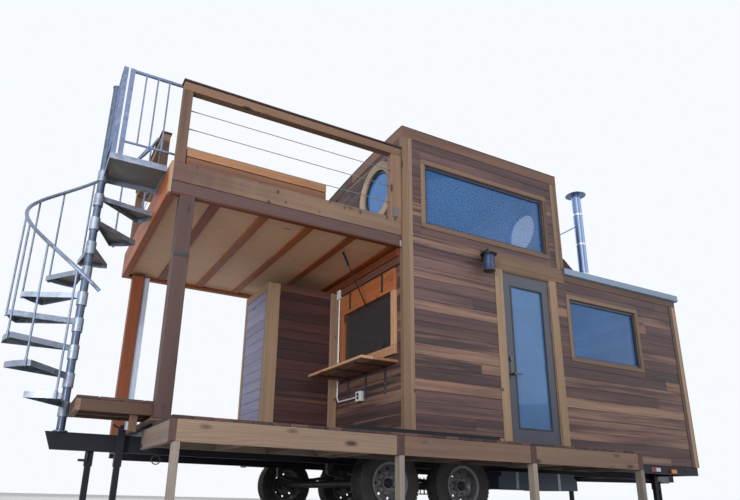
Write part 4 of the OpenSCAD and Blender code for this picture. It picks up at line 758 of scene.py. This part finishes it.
def lay_deck(bm, x0, x1, low, high, ends, width=140, gap=5, along="y"):
    """Deck boards side by side. ends gives where a board starts and stops, from where its two sides lie."""
    count = round((x1 - x0 + gap) / (width + gap))
    step = (x1 - x0 + gap) / count
    for i in range(count):
        a = x0 + i * step
        b = a + step - gap
        y0, y1 = ends(a, b)
        sag = cuts.uniform(0, 1.2)
        lows, highs = ((a, y0), (b, y1)) if along == "y" else ((y0, a), (y1, b))
        add_board(bm, (*lows, low - sag), (*highs, high - sag), along)


roof_boards = new_timber()
lay_deck(roof_boards, 78, DECK_BACK - 78, 3058, 3084.5, lambda a, b: (DECK_END + 78, DECK_WALL), along="x")
for i in range(6):
    x = DECK_END + 90 + i * 478
    add_board(roof_boards, (x - 19, 80, 2996), (x + 19, DECK_BACK - 80, 3056), "y")
finish_piece(roof_boards, "roof_deck_boards", "deck_wood", 2.0, ["roof_deck_floor"])

# Railing. Squared posts of brown softwood with a flat top rail nailed on under a dark cap board, and three steel
# cables with swaged ends that run from post to post.
POST_X, CORNER_Y, SIDE_Y, RAIL_Z, RAIL_END_Z, RAIL_WALL = -2487, 2561, 1018, 3881, 3994, -155
rails, caps = new_timber(), new_timber()
for y in (0, SIDE_Y, CORNER_Y):
    add_board(rails, (POST_X, y, DECK_TOP), (POST_X + 89, y + 89, RAIL_Z - 1), "z")
for y in (0, CORNER_Y):
    add_board(rails, (RAIL_WALL, y, DECK_TOP), (DECK_WALL, y + 89, RAIL_Z - 1), "z")
    add_board(rails, (POST_X, y, RAIL_Z), (-21, y + 89, RAIL_END_Z - 21), "x", 0.6)
    add_board(caps, (POST_X - 12, y - 12, RAIL_END_Z - 20), (-21, y + 101, RAIL_END_Z), "x")
add_board(rails, (POST_X, SIDE_Y, RAIL_Z), (POST_X + 89, CORNER_Y - 25, RAIL_END_Z - 21), "y")
add_board(caps, (POST_X - 12, SIDE_Y - 12, RAIL_END_Z - 20), (POST_X + 101, CORNER_Y - 14, RAIL_END_Z), "y")
finish_piece(rails, "railing_boards", "rail_wood", 3.0, ["deck_railing"])
finish_piece(caps, "railing_caps", "cap_wood", 2.5)
metal("cable_steel", srgb(128, 132, 138), 0.35, metallic=0.7, scale=200)
dress("cable_steel", "railing_cables")


def add_rod(bm, start, end, radius, segments=16, tip=None):
    """A round bar between two places, or a cone if a tip radius is given."""
    a, b = at(*start), at(*end)
    turn = (b - a).to_track_quat("Z", "Y").to_matrix().to_4x4()
    bmesh.ops.create_cone(
        bm, cap_ends=True, segments=segments, radius1=radius / 1000,
        radius2=(radius if tip is None else tip) / 1000, depth=(b - a).length,
        matrix=Matrix.Translation((a + b) / 2) @ turn)


def add_rods(bm, along, place, *rows, segments=16):
    """Rods and cones in one line from a place, along axis x, y or z: from, to, radius, and a tip radius for a cone."""
    for start, end, radius, *tip in rows:
        ends = [[c + (reach if axis == along else 0) for axis, c in zip("xyz", place)] for reach in (start, end)]
        add_rod(bm, *ends, radius, segments, *tip)


fittings = bmesh.new()
for i in range(3):
    z = DECK_TOP + 195 + 201 * i
    for along, x, y, out in (
            *(("x", x, y, out) for y in (44.5, DECK_BACK - 44.5) for x, out in ((POST_X + 89, 1), (RAIL_WALL, -1))),
            ("y", POST_X + 44.5, SIDE_Y + 89, 1), ("y", POST_X + 44.5, CORNER_Y, -1)):
        add_rods(fittings, along, (x, y, z), (0, out * 4, 12), (out * 4, out * 95, 6.5, 4.6))
finish_piece(fittings, "cable_ends", "cable_steel")

# Planter. An open box of two orange-brown boards a side with a dark gap between them, nailed to six squared
# battens inside, on the roof deck.
box = new_timber()
BX0, BX1, BY0, BY1, BZ0, BZ1 = -2390, -940, 15, 295, 3093, 3270
for z0, z1 in ((BZ0, BZ0 + 82), (BZ0 + 92, BZ1)):
    add_boards(box, (BX0, BY0, z0, BX1, BY0 + 38, z1, "x"), (BX0, BY1 - 38, z0, BX1, BY1, z1, "x"),
               (BX0, BY0 + 39, z0, BX0 + 38, BY1 - 39, z1, "y"), (BX1 - 38, BY0 + 39, z0, BX1, BY1 - 39, z1, "y"))
for x in (BX0 + 40, -1690, BX1 - 78):
    for y in (BY0 + 38.5, BY1 - 76.5):
        add_board(box, (x, y, BZ0 + 26), (x + 38, y + 38, BZ1 - 8), "z", 0.1)
add_board(box, (BX0 + 39, BY0 + 39, BZ0), (BX1 - 39, BY1 - 39, BZ0 + 25), "x", 0.1)
finish_piece(box, "planter_boards", "planter_wood", 2.0, ["planter"])

# Porch posts and downspout. Two squared posts carry the roof deck. The front one is nearly black and held
# by an iron strap, the back one is orange, and beside it a folded metal downspout runs down to the floor.
PX0, PX1, STRAP_Z0, STRAP_Z1 = -2405, -2270, 2176, 2216
piece_of_boards("front_post", "post_dark", 4.0, [
    (PX0, 0, PORCH_Z, PX1, 135, DECK_UNDER - 0.5, "z", 0.5)], ["porch_posts"])
piece_of_boards("back_post", "orange_wood", 4.0, [
    (PX0, WIDTH - 135, PORCH_Z, PX1, WIDTH, DECK_UNDER - 0.5, "z", 0.35)])
metal("black_iron", srgb(28, 28, 31), 0.45, coat=0.1, bump=0.15)
piece_of_boards("post_strap", "black_iron", 0.0, [
    (PX0 - 2.5, -2.5, STRAP_Z0, PX1 + 2.5, 0, STRAP_Z1, "x"), (PX0 - 2.5, 0, STRAP_Z0, PX0, 137.5, STRAP_Z1, "x"),
    (PX1, 0, STRAP_Z0, PX1 + 2.5, 137.5, STRAP_Z1, "x"), (PX0, 135, STRAP_Z0, PX1, 137.5, STRAP_Z1, "x")])
metal("gutter_metal", srgb(196, 208, 226), 0.22, metallic=0.35, scale=8, specks=0.06, coat=0.3)
spout = new_timber()
add_board(spout, (-2269, 2490, 800), (-2195, 2549, DECK_UNDER - 1), "z")
for x in (-2258, -2236, -2214):
    add_board(spout, (x - 4, 2487.5, 800), (x + 4, 2491, DECK_UNDER - 1), "z")
for z in (1080, 1770, 2480):
    add_board(spout, (-2271.5, 2486, z), (-2193, 2551, z + 26), "x")
add_prism(spout, [(-2269, 800), (-2195, 800), (-2162, 767), (-2236, 767)], "y", 2491, 2548, "z")
finish_piece(spout, "downspout_pipe", "gutter_metal", 3.0, ["downspout"])

# Porch floor and front deck. Boards across the house with open gaps, on framing boards that show at the
# edges; the front deck is a step lower and stands on four pale weathered legs.
porch_boards, deck_boards = new_timber(), new_timber()
for x0, x1, ends in ((-2430, -770, (-2, WIDTH + 2)), (-765, -24, (178, WIDTH - 178))):
    lay_deck(porch_boards, x0, x1, 741, 764.5, lambda a, b: ends)
for y0, y1, x1 in ((4, 176, -772), (178, WIDTH - 178, -4), (WIDTH - 176, WIDTH - 4, -772)):
    add_board(porch_boards, (-2427, y0, 721), (x1, y1, 739), "x", 0.05)
finish_piece(porch_boards, "porch_boards", "deck_wood", 2.0, ["porch_floor"])
for x0, x1 in ((-2415, -772), (-767, 1208), (1213, 2454)):
    lay_deck(deck_boards, x0, x1, 692.5, DECK_Z, lambda a, b: (-730, -97 if b > -772 and a < 1211 else -26))
finish_piece(deck_boards, "front_deck_planks", "deck_wood", 2.5, ["front_deck_boards"])
add_spots("fascia_wood", (2.6, 6, 7), 0.8, 5.0, (58, 36, 30))
LEGS, JOIST_Z0, JOIST_Z1, EDGE_Y = (-2415, -560, 905, 2379), 533, 691, -730
edge, under, edge_ends = new_timber(), new_timber(), new_timber()
for a, b, shade in zip(LEGS, LEGS[1:], (0.72, 0.4, 0.48)):
    start = a + (38.5 if a == LEGS[0] else 75.5)
    add_board(edge, (start, EDGE_Y, JOIST_Z0), (b - 0.5, EDGE_Y + 38, JOIST_Z1 + 0.5), "x", shade)
    for k in (1, 2, 3):
        x = a + 75 + k * (b - a - 75) / 4
        add_board(under, (x, EDGE_Y + 39, JOIST_Z0), (x + 38, -139 if a == LEGS[1] else -39, JOIST_Z1), "y")
for x in LEGS:
    width = 38 if x == LEGS[0] else 75
    add_board(edge_ends, (x, EDGE_Y, JOIST_Z0 + 1), (x + width, EDGE_Y + 75, JOIST_Z1 + 0.5), "z", 0.7)
finish_piece(edge_ends, "deck_edge_blocks", "step_dark", 2.0)
add_board(edge, (2416, EDGE_Y + 76, JOIST_Z0), (2454, 0, JOIST_Z1), "y", 0.4)
finish_piece(edge, "deck_edge_boards", "fascia_wood", 2.0, ["front_deck_frame"])
add_boards(under, *((x0, y0, JOIST_Z0, x1, y1, JOIST_Z1, *looks) for x0, y0, x1, y1, *looks in (
    (-2415, EDGE_Y + 76, -2377, 380, "y", 0.75), (-808, EDGE_Y + 39, -770, -39, "y"),
    (1210, EDGE_Y + 39, 1248, -39, "y"), (-2376, -38, -770, -0.5, "x"), (1210, -38, 2415, -0.5, "x"),
    (-769, -138, 1209, -100, "x"))))
finish_piece(under, "deck_joists", "grey_wood", 2.0)
piece_of_boards("deck_leg_posts", "leg_wood", 2.5, [
    (x + 25, EDGE_Y + 1, 0.5, x + 74, EDGE_Y + 80, JOIST_Z0, "z") for x in LEGS], ["deck_legs"])

# Landing step. Four dark boards nailed on a lighter box of boards, where the stair meets the porch. Two squared
# blocks and a short leg stand inside the box.
step_top = new_timber()
lay_deck(step_top, -2990, -2300, 891.5, 916.5, lambda a, b: (141, 730), width=168, gap=6)
finish_piece(step_top, "step_boards", "step_dark", 2.5, ["landing_step"])
piece_of_boards("step_frame", "rail_wood", 2.0, [
    (-2990, 142, 796, -2952, 729, 891, "y"), (-2338, 142, 796, -2300, 729, 891, "y"),
    (-2951, 142, 797, -2339, 180, 890.5, "x"), (-2951, 691, 797, -2339, 729, 890.5, "x"),
    (-2392, 180, 765, -2317, 255, 891, "z"), (-2392, 616, 765, -2317, 691, 891, "z"),
    (-2560, 182, RAIL_TOP + 0.5, -2500, 242, 890, "z"), (-2951, 400, 797, -2339, 438, 890, "x")])

# Serving window and counter. A heavy orange board frame round one pane, strapped with black iron; under it a
# counter of three planks on three plain iron brackets.
y0, y1, z0, z1 = HATCH
STILE, FOOT_H, HEAD_H = 80, 95, 250
add_spots("hatch_wood", (5, 5, 7), 0.7, 4.6, (50, 24, 16))
hatch, hatch_side = new_timber(), new_timber()
add_boards(hatch, (-40, y0, z1 - HEAD_H, 0, y1, z1, "y", 0.6),
           (-39, y1 - STILE, z0 + FOOT_H + 1, 0, y1, z1 - HEAD_H - 1, "z", 0.6))
add_boards(hatch_side, (-38, y0, z0, 0, y1, z0 + FOOT_H, "y", 0.45),
           (-39, y0, z0 + FOOT_H + 1, 0, y0 + STILE, z1 - HEAD_H - 1, "z", 0.6))
finish_piece(hatch_side, "hatch_pale_boards", "hatch_tan", 2.0)
finish_piece(hatch, "hatch_boards", "hatch_wood", 2.0, ["serving_window"])
piece_of_boards("ceiling_ledger", "orange_wood", 2.0, [
    (-52, 46, 2680, -14.5, WIDTH - 46, 2768, "y", 0.12)])
piece_of_boards("counter_planks", "counter_wood", 2.5, [
    (x, 115, 1522, x + width, 1385, 1552, "y", shade)
    for x, width, shade in ((-444, 142, 0.85), (-295.5, 142, 0.3), (-147, 146, 0.4))], ["counter"])
ironwork = new_timber()
for y in (382, 1132):
    add_board(ironwork, (-44, y - 20, 2352), (-40, y + 20, 2562), "z")
    for z in (2372, 2457, 2542):
        add_rod(ironwork, (-44, y, z), (-49, y, z), 7, 10)
add_board(ironwork, (-44, 362, 1745), (-39, 396, 1800), "z")
add_rod(ironwork, (-44, 379, 1772), (-62, 379, 1772), 8, 12)
add_boards(ironwork, (-68, 372, 1700, -60, 386, 1780, "z"),
           (-4, y0 - 8, z0 - 8, -0.5, y0 - 0.5, z1 + 8, "z"), (-4, y1 + 0.5, z0 - 8, -0.5, y1 + 8, z1 + 8, "z"),
           (-4, y0, z0 - 8, -0.5, y1, z0 - 0.5, "z"), (-4, y0, z1 + 0.5, -0.5, y1, z1 + 8, "z"))
finish_piece(ironwork, "hatch_irons", "black_iron", 0.8)
BRACKETS = (336, 749, 1162)
piece_of_boards("bracket_irons", "black_iron", 1.0, [
    row for y in BRACKETS for row in ((-24, y, 1232, -14.2, y + 30, 1521.5, "z"),
                                      (-404, y, 1512, -24.2, y + 30, 1521.5, "x"))], ["counter_brackets"])
screws = bmesh.new()
for y in BRACKETS:
    for z in (1260, 1340, 1470):
        add_rod(screws, (-24, y + 15, z), (-27.5, y + 15, z), 6, 10)
finish_piece(screws, "bracket_screws", "cable_steel")

# Cables in grey pipe on the porch wall: a junction box high up, a pipe down beside the closet and along to
# an outlet box below the counter; and the steel hanger and the cover plate at the roof deck's corner. The plate
# carries the plain dark metal that comes with the solids' window frames.
metal("pipe_grey", srgb(206, 208, 212), 0.4, metallic=0.15, scale=60)
wiring = new_timber()
add_boards(wiring, (-50, 1400, 2560, -14, 1475, 2680, "z"), (-54, 1404, 2566, -50, 1471, 2674, "z"))
bends = [(-30, 1437, 2560), (-30, 1437, 1330), (-30, 1400, 1270), (-30, 930, 1270)]
for start, end in zip(bends, bends[1:]):
    add_rod(wiring, start, end, 10, 12)
add_boards(wiring, *((-42, 1422, z, -14, 1452, z + 18, "y") for z in (1500, 1900, 2300)),
           (-56, 820, 1215, -14, 930, 1325, "z"), (-60, 826, 1222, -56, 924, 1318, "z"))
finish_piece(wiring, "wall_pipes", "pipe_grey", 1.5)
materials["plain_dark"] = bpy.data.materials["window_metal"]
for name, material, slot, chamfer, rows in (
        ("outlet_sockets", "black_iron", "black_iron", 0.0,
         [(-62, 852, 1236, -60, 898, 1266, "z"), (-62, 852, 1274, -60, 898, 1304, "z")]),
        ("deck_hanger", "cable_steel", "frame_steel", 1.0, [(-52, -4, 2766, -22, 0.5, 2840, "z")]),
        ("deck_plate", "plain_dark", "black_iron", 1.5,
         [(-132, -9, 3100, -70, -0.5, 3216, "z"), (-126, -12, 3106, -76, -9, 3210, "z")])):
    piece_of_boards(name, material, chamfer, rows)
metal("strut_black", srgb(30, 31, 34), 0.3, metallic=0.5, coat=0.3)
strut = bmesh.new()
add_rod(strut, (-475, 506, 2789), (-367, 564, 2665), 14, 20)
add_rod(strut, (-367, 564, 2665), (-44, 738, 2292), 7, 14)
finish_piece(strut, "hatch_strut", "strut_black")

# Spiral stair. Hot-dip galvanised steel: a pole with nine folded treads on hubs, the handrail on thin bars,
# and the landing; the treads' tops are chequered plate, and the undersides of the treads and the landing carry
# a painted olive shade.
def galvanised(name, part, colour, under=None):
    tree, shader = new_material(name)
    cells = node(tree, "ShaderNodeTexVoronoi", {"Vector": object_place(tree), "Scale": 26.0})
    tint = split(tree, "Color", cells["Color"])[0]
    cloud = noise(tree, object_place(tree), 3.0, 6.0)
    shade = plus(tree, times(tree, tint, 0.35), times(tree, cloud, 0.65))
    base = ramp(tree, shade, (0.25, tuple(c * 0.72 for c in colour)), (0.75, tuple(min(1, c * 1.22) for c in colour)))
    # Painted shade: faces that point down are mixed toward the darker olive colour given as under.
    if under:
        down = split(tree, "XYZ", node(tree, "ShaderNodeNewGeometry", {})["Normal"])[2]
        base = mixed(tree, times(tree, times(tree, down, -1.0, clamp=True), 0.85), base, (*under, 1))
    fill(shader, {"Base Color": base, "Roughness": plus(tree, times(tree, tint, 0.22), 0.35), "Metallic": 0.55})
    dress(name, part)


def circle(centre, radius, angle):
    return centre[0] + radius * math.cos(angle), centre[1] + radius * math.sin(angle)


# A zinc's second colour is the painted shade on its undersides.
galvanised("stair_zinc", "stair_treads", srgb(140, 150, 168), srgb(112, 104, 88))
galvanised("pole_zinc", "stair_pole", srgb(84, 96, 118))
galvanised("rail_zinc", "stair_railing", srgb(112, 124, 146))
galvanised("landing_zinc", "stair_landing", srgb(134, 142, 162), srgb(122, 118, 104))
galvanised("guard_zinc", "landing_guard", srgb(108, 120, 150))
POLE, TREADS, RISE, STAIR_TOP, FIRST_TURN, TURN = (-3041, 630), 9, 246.5, 3127, 27.5, 27.7
TREAD_IN, TREAD_OUT, HALF_ANGLE, CHEQUER, RAIL_R, CORNER = 110, 545, 14.5, 34, 572, (-2530, -5)
tread_plates, collars = bmesh.new(), bmesh.new()
for i in range(TREADS):
    z = STAIR_TOP - RISE * (i + 1)
    turn = math.radians(FIRST_TURN + TURN * i)
    for r in range(TREAD_IN, TREAD_OUT, CHEQUER):
        reach = math.atan(math.tan(math.radians(HALF_ANGLE)) * (1 - 26 / r))
        number = max(1, int(2 * reach * r / CHEQUER))
        for k in range(number):
            a = turn + reach * (2 * (k + 0.5) / number - 1)
            x, y = circle(POLE, r, a)
            if x > CORNER[0] and y > CORNER[1]:
                continue
            lay = a + math.radians(45 if (k + r // CHEQUER) % 2 else -45)
            ends = [(x + s * 10 * math.cos(lay), y + s * 10 * math.sin(lay), z + 0.6) for s in (-1, 1)]
            add_rod(tread_plates, *ends, 2.4, 4)
    add_rods(collars, "z", (*POLE, z), (0, 4, 44), segments=32)
    add_rods(collars, "z", (*POLE, z), (-124, -120, 43), segments=32)
    foot = circle(POLE, RAIL_R, math.radians(FIRST_TURN + TURN * i + 10.5))
    add_rods(collars, "z", (*foot, z), (-52, -46, 13), (1, 8, 13), segments=12)
finish_piece(tread_plates, "tread_chequers", "stair_zinc")
for a in (45, 135, 225, 315):
    add_rods(collars, "z", (*circle(POLE, 50, math.radians(a)), RAIL_TOP), (10, 17, 7), segments=6)
finish_piece(collars, "stair_collars", "rail_zinc")

# Trailer. Navy-black painted beams, cross members and outriggers with two axles on leaf springs. Bolts, lamps,
# reflective tape and the crank on the stair's jack are added to the plain members.
steel_paint = metal("steel_paint", srgb(16, 19, 34), 0.5, specks=0.25, scale=24, dirt=srgb(34, 32, 36), bump=0.1)
fill(steel_paint, {"Specular IOR Level": 0.25})
dress("steel_paint", "main_rails", "side_rails", "cross_members", "hitch_arms", "coupler", "jacks")
metal("axle_black", srgb(30, 31, 34), 0.55, specks=0.3, dirt=srgb(70, 60, 50), bump=0.2)
dress("axle_black", "axles")
AXLES, HUB_Z, CRANK = {"left": -205, "right": 645}, 330, (-2234, 598, 470)
trailer_bits = bmesh.new()


def add_hoop(bm, middle, radius, count, thickness, segments):
    """A ring of short rods round an axis that runs across the house."""
    x, y, z = middle
    corners = [circle((x, z), radius, math.tau * i / count) for i in range(count + 1)]
    for (x0, z0), (x1, z1) in zip(corners, corners[1:]):
        add_rod(bm, (x0, y, z0), (x1, y, z1), thickness, segments)


for y, out in ((-0.5, -1), (WIDTH + 0.5, 1)):
    for x in (-2000, -1400, 1500, 2400, 3000, 3600, 4200):
        add_rods(trailer_bits, "y", (x, y, 610), (0, out * 8, 9), segments=6)
for x in AXLES.values():
    for y in (630, WIDTH - 630):
        for dx in (-26, 26):
            for dy in (-34, 34):
                add_rods(trailer_bits, "z", (x + dx, y + dy, 0), (255, 420, 6), segments=10)
        add_block(trailer_bits, at(x, y, 250), (0.09, 0.09, 0.012))
        for dx in (-305, 305):
            add_rods(trailer_bits, "y", (x + dx, y, 455), (-38, 38, 9), segments=8)
for start, end, radius, segments in (
        ((-2560, 528, 700), (-2560, 493, 700), 9, 12), ((-2780, 652, 520), (-2800, 640, 520), 9, 12),
        ((-2800, 640, 520), (-2800, 640, 440), 6, 12), ((-2800, 640, 440), (-2868, 625, 440), 11, 12),
        ((-2560, 560, 705), (-2560, 560, 745), 16, 16), ((-2560, 493, 700), (-2640, 493, 730), 8, 12),
        ((-2640, 493, 730), (-2640, 440, 730), 11, 12), ((5410, 1295, 962), (5410, 1295, 985), 22, 20),
        ((5410, 1295, 976), (5410, 1210, 976), 8, 12), ((5410, 1210, 976), (5410, 1210, 1030), 11, 12)):
    add_rod(trailer_bits, start, end, radius, segments)
add_hoop(trailer_bits, CRANK, 38, 20, 5, 8)
add_rod(trailer_bits, (-2234, 598, 505), (-2234, 606, 520), 6, 8)
finish_piece(trailer_bits, "trailer_bolts", "axle_black")


def lamp_plastic(name, colour):
    tree, shader = new_material(name)
    ribs = node(tree, "ShaderNodeTexWave", {"Vector": object_place(tree), "Scale": 90.0}, bands_direction="X")[1]
    fill(shader, {"Base Color": ramp(tree, ribs, (0.2, tuple(c * 0.7 for c in colour)), (0.8, colour)),
                  "Normal": bumps(tree, ribs, 0.3), "Roughness": 0.18, "Coat Weight": 0.5})


for name, colour, spots in (
        ("tape_red", srgb(172, 34, 34), [(1500, 1590), (1860, 1930), (3560, 3640), (-1700, -1610), (2700, 2790)]),
        ("tape_white", srgb(214, 214, 212), [(1590, 1680), (1930, 1990), (3640, 3720), (-1610, -1520), (2790, 2880)])):
    lamp_plastic(name, colour)
    piece_of_boards(name, name, 0.0, [
        (x0, y, 585, x1, y + 1.2, 630, "x") for x0, x1 in spots for y in (-1.2, WIDTH)])
lamp_plastic("lamp_amber", srgb(222, 120, 24))
piece_of_boards("side_lamps", "lamp_amber", 5.0, [
    (x, y, 572, x + 96, y + 23, 620, "x") for y in (-24, WIDTH + 1) for x in (3900, -2120)])

# Fenders and water tank. Glossy black pressed fenders, rolled at the rim and bolted on; a grey moulded tank
# hung under the low room in two straps.
fender_black = metal("fender_black", srgb(12, 14, 26), 0.4, specks=0.2, scale=8, dirt=srgb(24, 25, 34))
fill(fender_black, {"Specular IOR Level": 0.2})
metal("tank_grey", srgb(70, 80, 96), 0.6, specks=0.12, scale=10, bump=0.3)
dress("fender_black", "fenders")
dress("tank_grey", "water_tank")
fender_bolts = bmesh.new()
for y, out in ((-90, -1), (WIDTH + 85.5, 1)):
    for x in (-700, -520, 960, 1140):
        for z in (600, 740):
            add_rods(fender_bolts, "y", (x, y, z), (0, out * 5, 8), segments=6)
finish_piece(fender_bolts, "fender_bolts", "cable_steel")
piece_of_boards("tank_straps", "cable_steel", 0.6, [
    (x, y0, z0, x + 40, y1, z1, "z") for x in (1690, 2330)
    for y0, z0, y1, z1 in ((337, 328, 340, 515), (337, 326, 903, 330), (900, 328, 903, 515))])

# Wheels. Steel disc rims with eight nuts round a black cap, and all-season tyres with moulded shoulder blocks,
# centre ribs and bead lines; each wheel turns with its own body.
metal("rim_paint", srgb(112, 114, 120), 0.42, metallic=0.3, specks=0.15, dirt=srgb(92, 84, 76))
dress("rim_paint", "rim_front_left", "rim_front_right", "rim_back_left", "rim_back_right")
metal("nut_steel", srgb(84, 86, 90), 0.5, metallic=0.3, scale=200)
tree, shader = new_material("tyre_rubber")
dust = noise(tree, object_place(tree), 5.0, 8.0, 0.65)
fill(shader, {"Base Color": ramp(tree, dust, (0.35, srgb(30, 30, 32)), (0.75, srgb(68, 64, 60))),
              "Roughness": plus(tree, times(tree, dust, 0.2), 0.65)})
HALF_TYRE = [(176, 82), (192, 88), (205, 94), (214, 98), (255, 102), (285, 101), (304, 95), (316, 86), (321, 74),
             (322, 60)]
PROFILE = [(r, -w) for r, w in HALF_TYRE] + HALF_TYRE[::-1]
BLOCKS, TREAD_R, SHOULDER_W = 54, 330, 80
SLANT = math.tau * 0.35 / BLOCKS
for side in ("front", "back"):
    for end, cx in AXLES.items():
        name = side + "_" + end
        cy, out = (42.5, -1) if side == "front" else (WIDTH - 42.5, 1)
        tyre = bmesh.new()
        section = [tyre.verts.new(at(cx + r, cy + w, HUB_Z)) for r, w in PROFILE]
        outline = [tyre.edges.new(pair) for pair in zip(section, section[1:] + section[:1])]
        bmesh.ops.spin(tyre, geom=section + outline, cent=at(cx, cy, HUB_Z), axis=(0, 1, 0), angle=math.tau,
                       steps=96, use_merge=True)
        for k in range(BLOCKS):
            a0, a1 = math.tau * k / BLOCKS, math.tau * (k + 0.78) / BLOCKS
            for w0, w1, lean in ((-88, -44, SLANT), (44, 88, -SLANT), (-37, -6, -SLANT), (6, 37, SLANT)):
                foot, face = [], []
                for ring, outer_r, inner_r in ((foot, 308, 320), (face, TREAD_R - 5, TREAD_R)):
                    for a, w in ((a0, w0), (a1, w0), (a1 + lean, w1), (a0 + lean, w1)):
                        x, z = circle((cx, HUB_Z), outer_r if abs(w) > SHOULDER_W else inner_r, a)
                        ring.append(tyre.verts.new(at(x, cy + w, z)))
                tyre.faces.new(face)
                tyre.faces.new(foot[::-1])
                for j in range(4):
                    tyre.faces.new((foot[j], foot[(j + 1) % 4], face[(j + 1) % 4], face[j]))
        for w in (-100.5, 100.5):
            for r in (222, 268):
                add_hoop(tyre, (cx, cy + w, HUB_Z), r, 64, 2.2, 4)
        finish_piece(tyre, "tyre_tread_" + name, "tyre_rubber", 0.0, ["tyre_" + name], "wheel_" + name)
        nuts, hub = bmesh.new(), bmesh.new()
        for k in range(8):
            x, z = circle((cx, HUB_Z), 82, math.tau * (k + 0.5) / 8)
            add_rods(nuts, "y", (x, cy, z), (out * 21, out * 40, 10), segments=6)
            add_rods(nuts, "y", (x, cy, z), (out * 40, out * 45, 8, 4), segments=12)
        add_rod(nuts, (cx + 168, cy + out * 60, HUB_Z), (cx + 158, cy + out * 92, HUB_Z), 4, 10)
        finish_piece(nuts, "wheel_nuts_" + name, "nut_steel", body="wheel_" + name)
        add_rods(hub, "y", (cx, cy, HUB_Z), (out * 50.5, out * 66, 44), (out * 66, out * 76, 44, 34), segments=32)
        add_rods(hub, "y", (cx, cy, HUB_Z), (out * 76, out * 79, 18), segments=6)
        finish_piece(hub, "wheel_cap_" + name, "fender_black", body="wheel_" + name)

# Lantern beside the door. A black cast cage with a hood and a ring at its foot, on an arm from a plate on the
# wall, round pale bluish glass and a white bulb.
cage, bulb, socket = bmesh.new(), bmesh.new(), bmesh.new()
LAMP = (DOOR[0] - 278, -115, 2665)
add_block(cage, at(LAMP[0], -26, LAMP[2] + 220), (0.06, 0.012, 0.14))
add_rod(cage, (LAMP[0], -30, LAMP[2] + 270), (*LAMP[:2], LAMP[2] + 270), 8, 16)
for segments, *rows in ((48, (200, 206, 95), (206, 238, 92, 34)), (24, (238, 256, 20, 16)), (16, (256, 276, 9)),
                        (48, (0, 10, 68)), (24, (-6, 0, 30, 62)), (48, (188, 200, 68))):
    add_rods(cage, "z", LAMP, *rows, segments=segments)
for k in range(6):
    add_rods(cage, "z", (*circle(LAMP, 63, math.tau * k / 6), LAMP[2]), (8, 190, 3.5), segments=8)
finish_piece(cage, "lantern_cage", "black_iron", 0.0, ["lantern"])
pane("lantern_pane", srgb(66, 82, 126), 0.12, solid=0.75)
add_rods(bulb, "z", LAMP, (10, 188, 57), segments=48)
finish_piece(bulb, "lantern_glass", "lantern_pane")
metal("bulb_white", srgb(226, 224, 216), 0.3, specks=0.03)
add_rods(socket, "z", LAMP, (130, 187, 18), segments=20)
bmesh.ops.create_uvsphere(socket, u_segments=20, v_segments=12, radius=0.03,
                          matrix=Matrix.Translation(at(*LAMP[:2], LAMP[2] + 108)))
finish_piece(socket, "lantern_bulb", "bulb_white")

# Chimney. Twin-wall stainless pipe in three lengths with locking bands and a lapped seam, a storm collar, a
# flashing cone on the roof and a flat cap; a thin brace holds it to the round window's ring. The bands carry the
# plain steel that comes with the solid pipe.
metal("flue_steel", srgb(124, 146, 184), 0.34, metallic=0.75, specks=0.15, scale=14)
materials["plain_flue"] = bpy.data.materials["flue_steel"]
dress("flue_steel", "chimney")
bands = bmesh.new()
FLUE = (3104, 300)
for z in (3120, 3560, 4010):
    add_rods(bands, "z", (*FLUE, z), (0, 7, 65.5), (9, 16, 64.2), (18, 25, 65.5), segments=64)
add_block(bands, at(FLUE[0] - 40, FLUE[1] - 49, 3640), (0.010, 0.003, 1.24), Matrix.Rotation(math.radians(40), 4, "Z"))
for k in range(6):
    add_rods(bands, "z", (*circle(FLUE, 48, math.tau * k / 6), 0), (4290, 4331, 3), segments=8)
finish_piece(bands, "chimney_bands", "plain_flue")

# Roofs. The tall roof and the small cricket behind the chimney are dark membrane; the low one is ribbed pale
# metal with a folded edge. Ribs run down the arch from front to back.
for name, colour, roughness, metallic, part in (
        ("tall_roof_skin", srgb(52, 54, 60), 0.75, 0.0, "tall_roof"),
        ("cricket_skin", srgb(66, 52, 46), 0.8, 0.0, "roof_cricket"),
        ("low_roof_metal", srgb(114, 130, 150), 0.4, 0.6, "low_roof")):
    metal(name, colour, roughness, metallic, 0.12, 12, dirt=tuple(c * 0.6 for c in colour), bump=0.15)
    dress(name, part)
ribs, seams = new_timber(), new_timber()
for k in range(1, 7):
    x = TALL + 16 + k * 290
    add_prism(ribs, arch_outline(910 if k == 1 else -28, 2618, LOW_TOP, -18, 0), "x", x, x + 16, "y")
finish_piece(ribs, "low_roof_ribs", "low_roof_metal")
for k in range(1, 5):
    add_prism(seams, arch_outline(2, WIDTH - 2, TALL_TOP, -3, 0), "x", k * 470, k * 470 + 60, "y")
for y0, y1 in ((-24, 6), (WIDTH - 6, WIDTH + 24)):
    middle = arch(TALL_TOP, (y0 + y1) / 2)
    add_board(seams, (-24, y0, middle + 8), (TALL + 24, y1, middle + 13), "x")
for x in (-24, TALL - 6):
    add_prism(seams, arch_outline(0, WIDTH, TALL_TOP, -14, -10), "x", x, x + 30, "y")
finish_piece(seams, "tall_roof_edges", "tall_roof_skin")
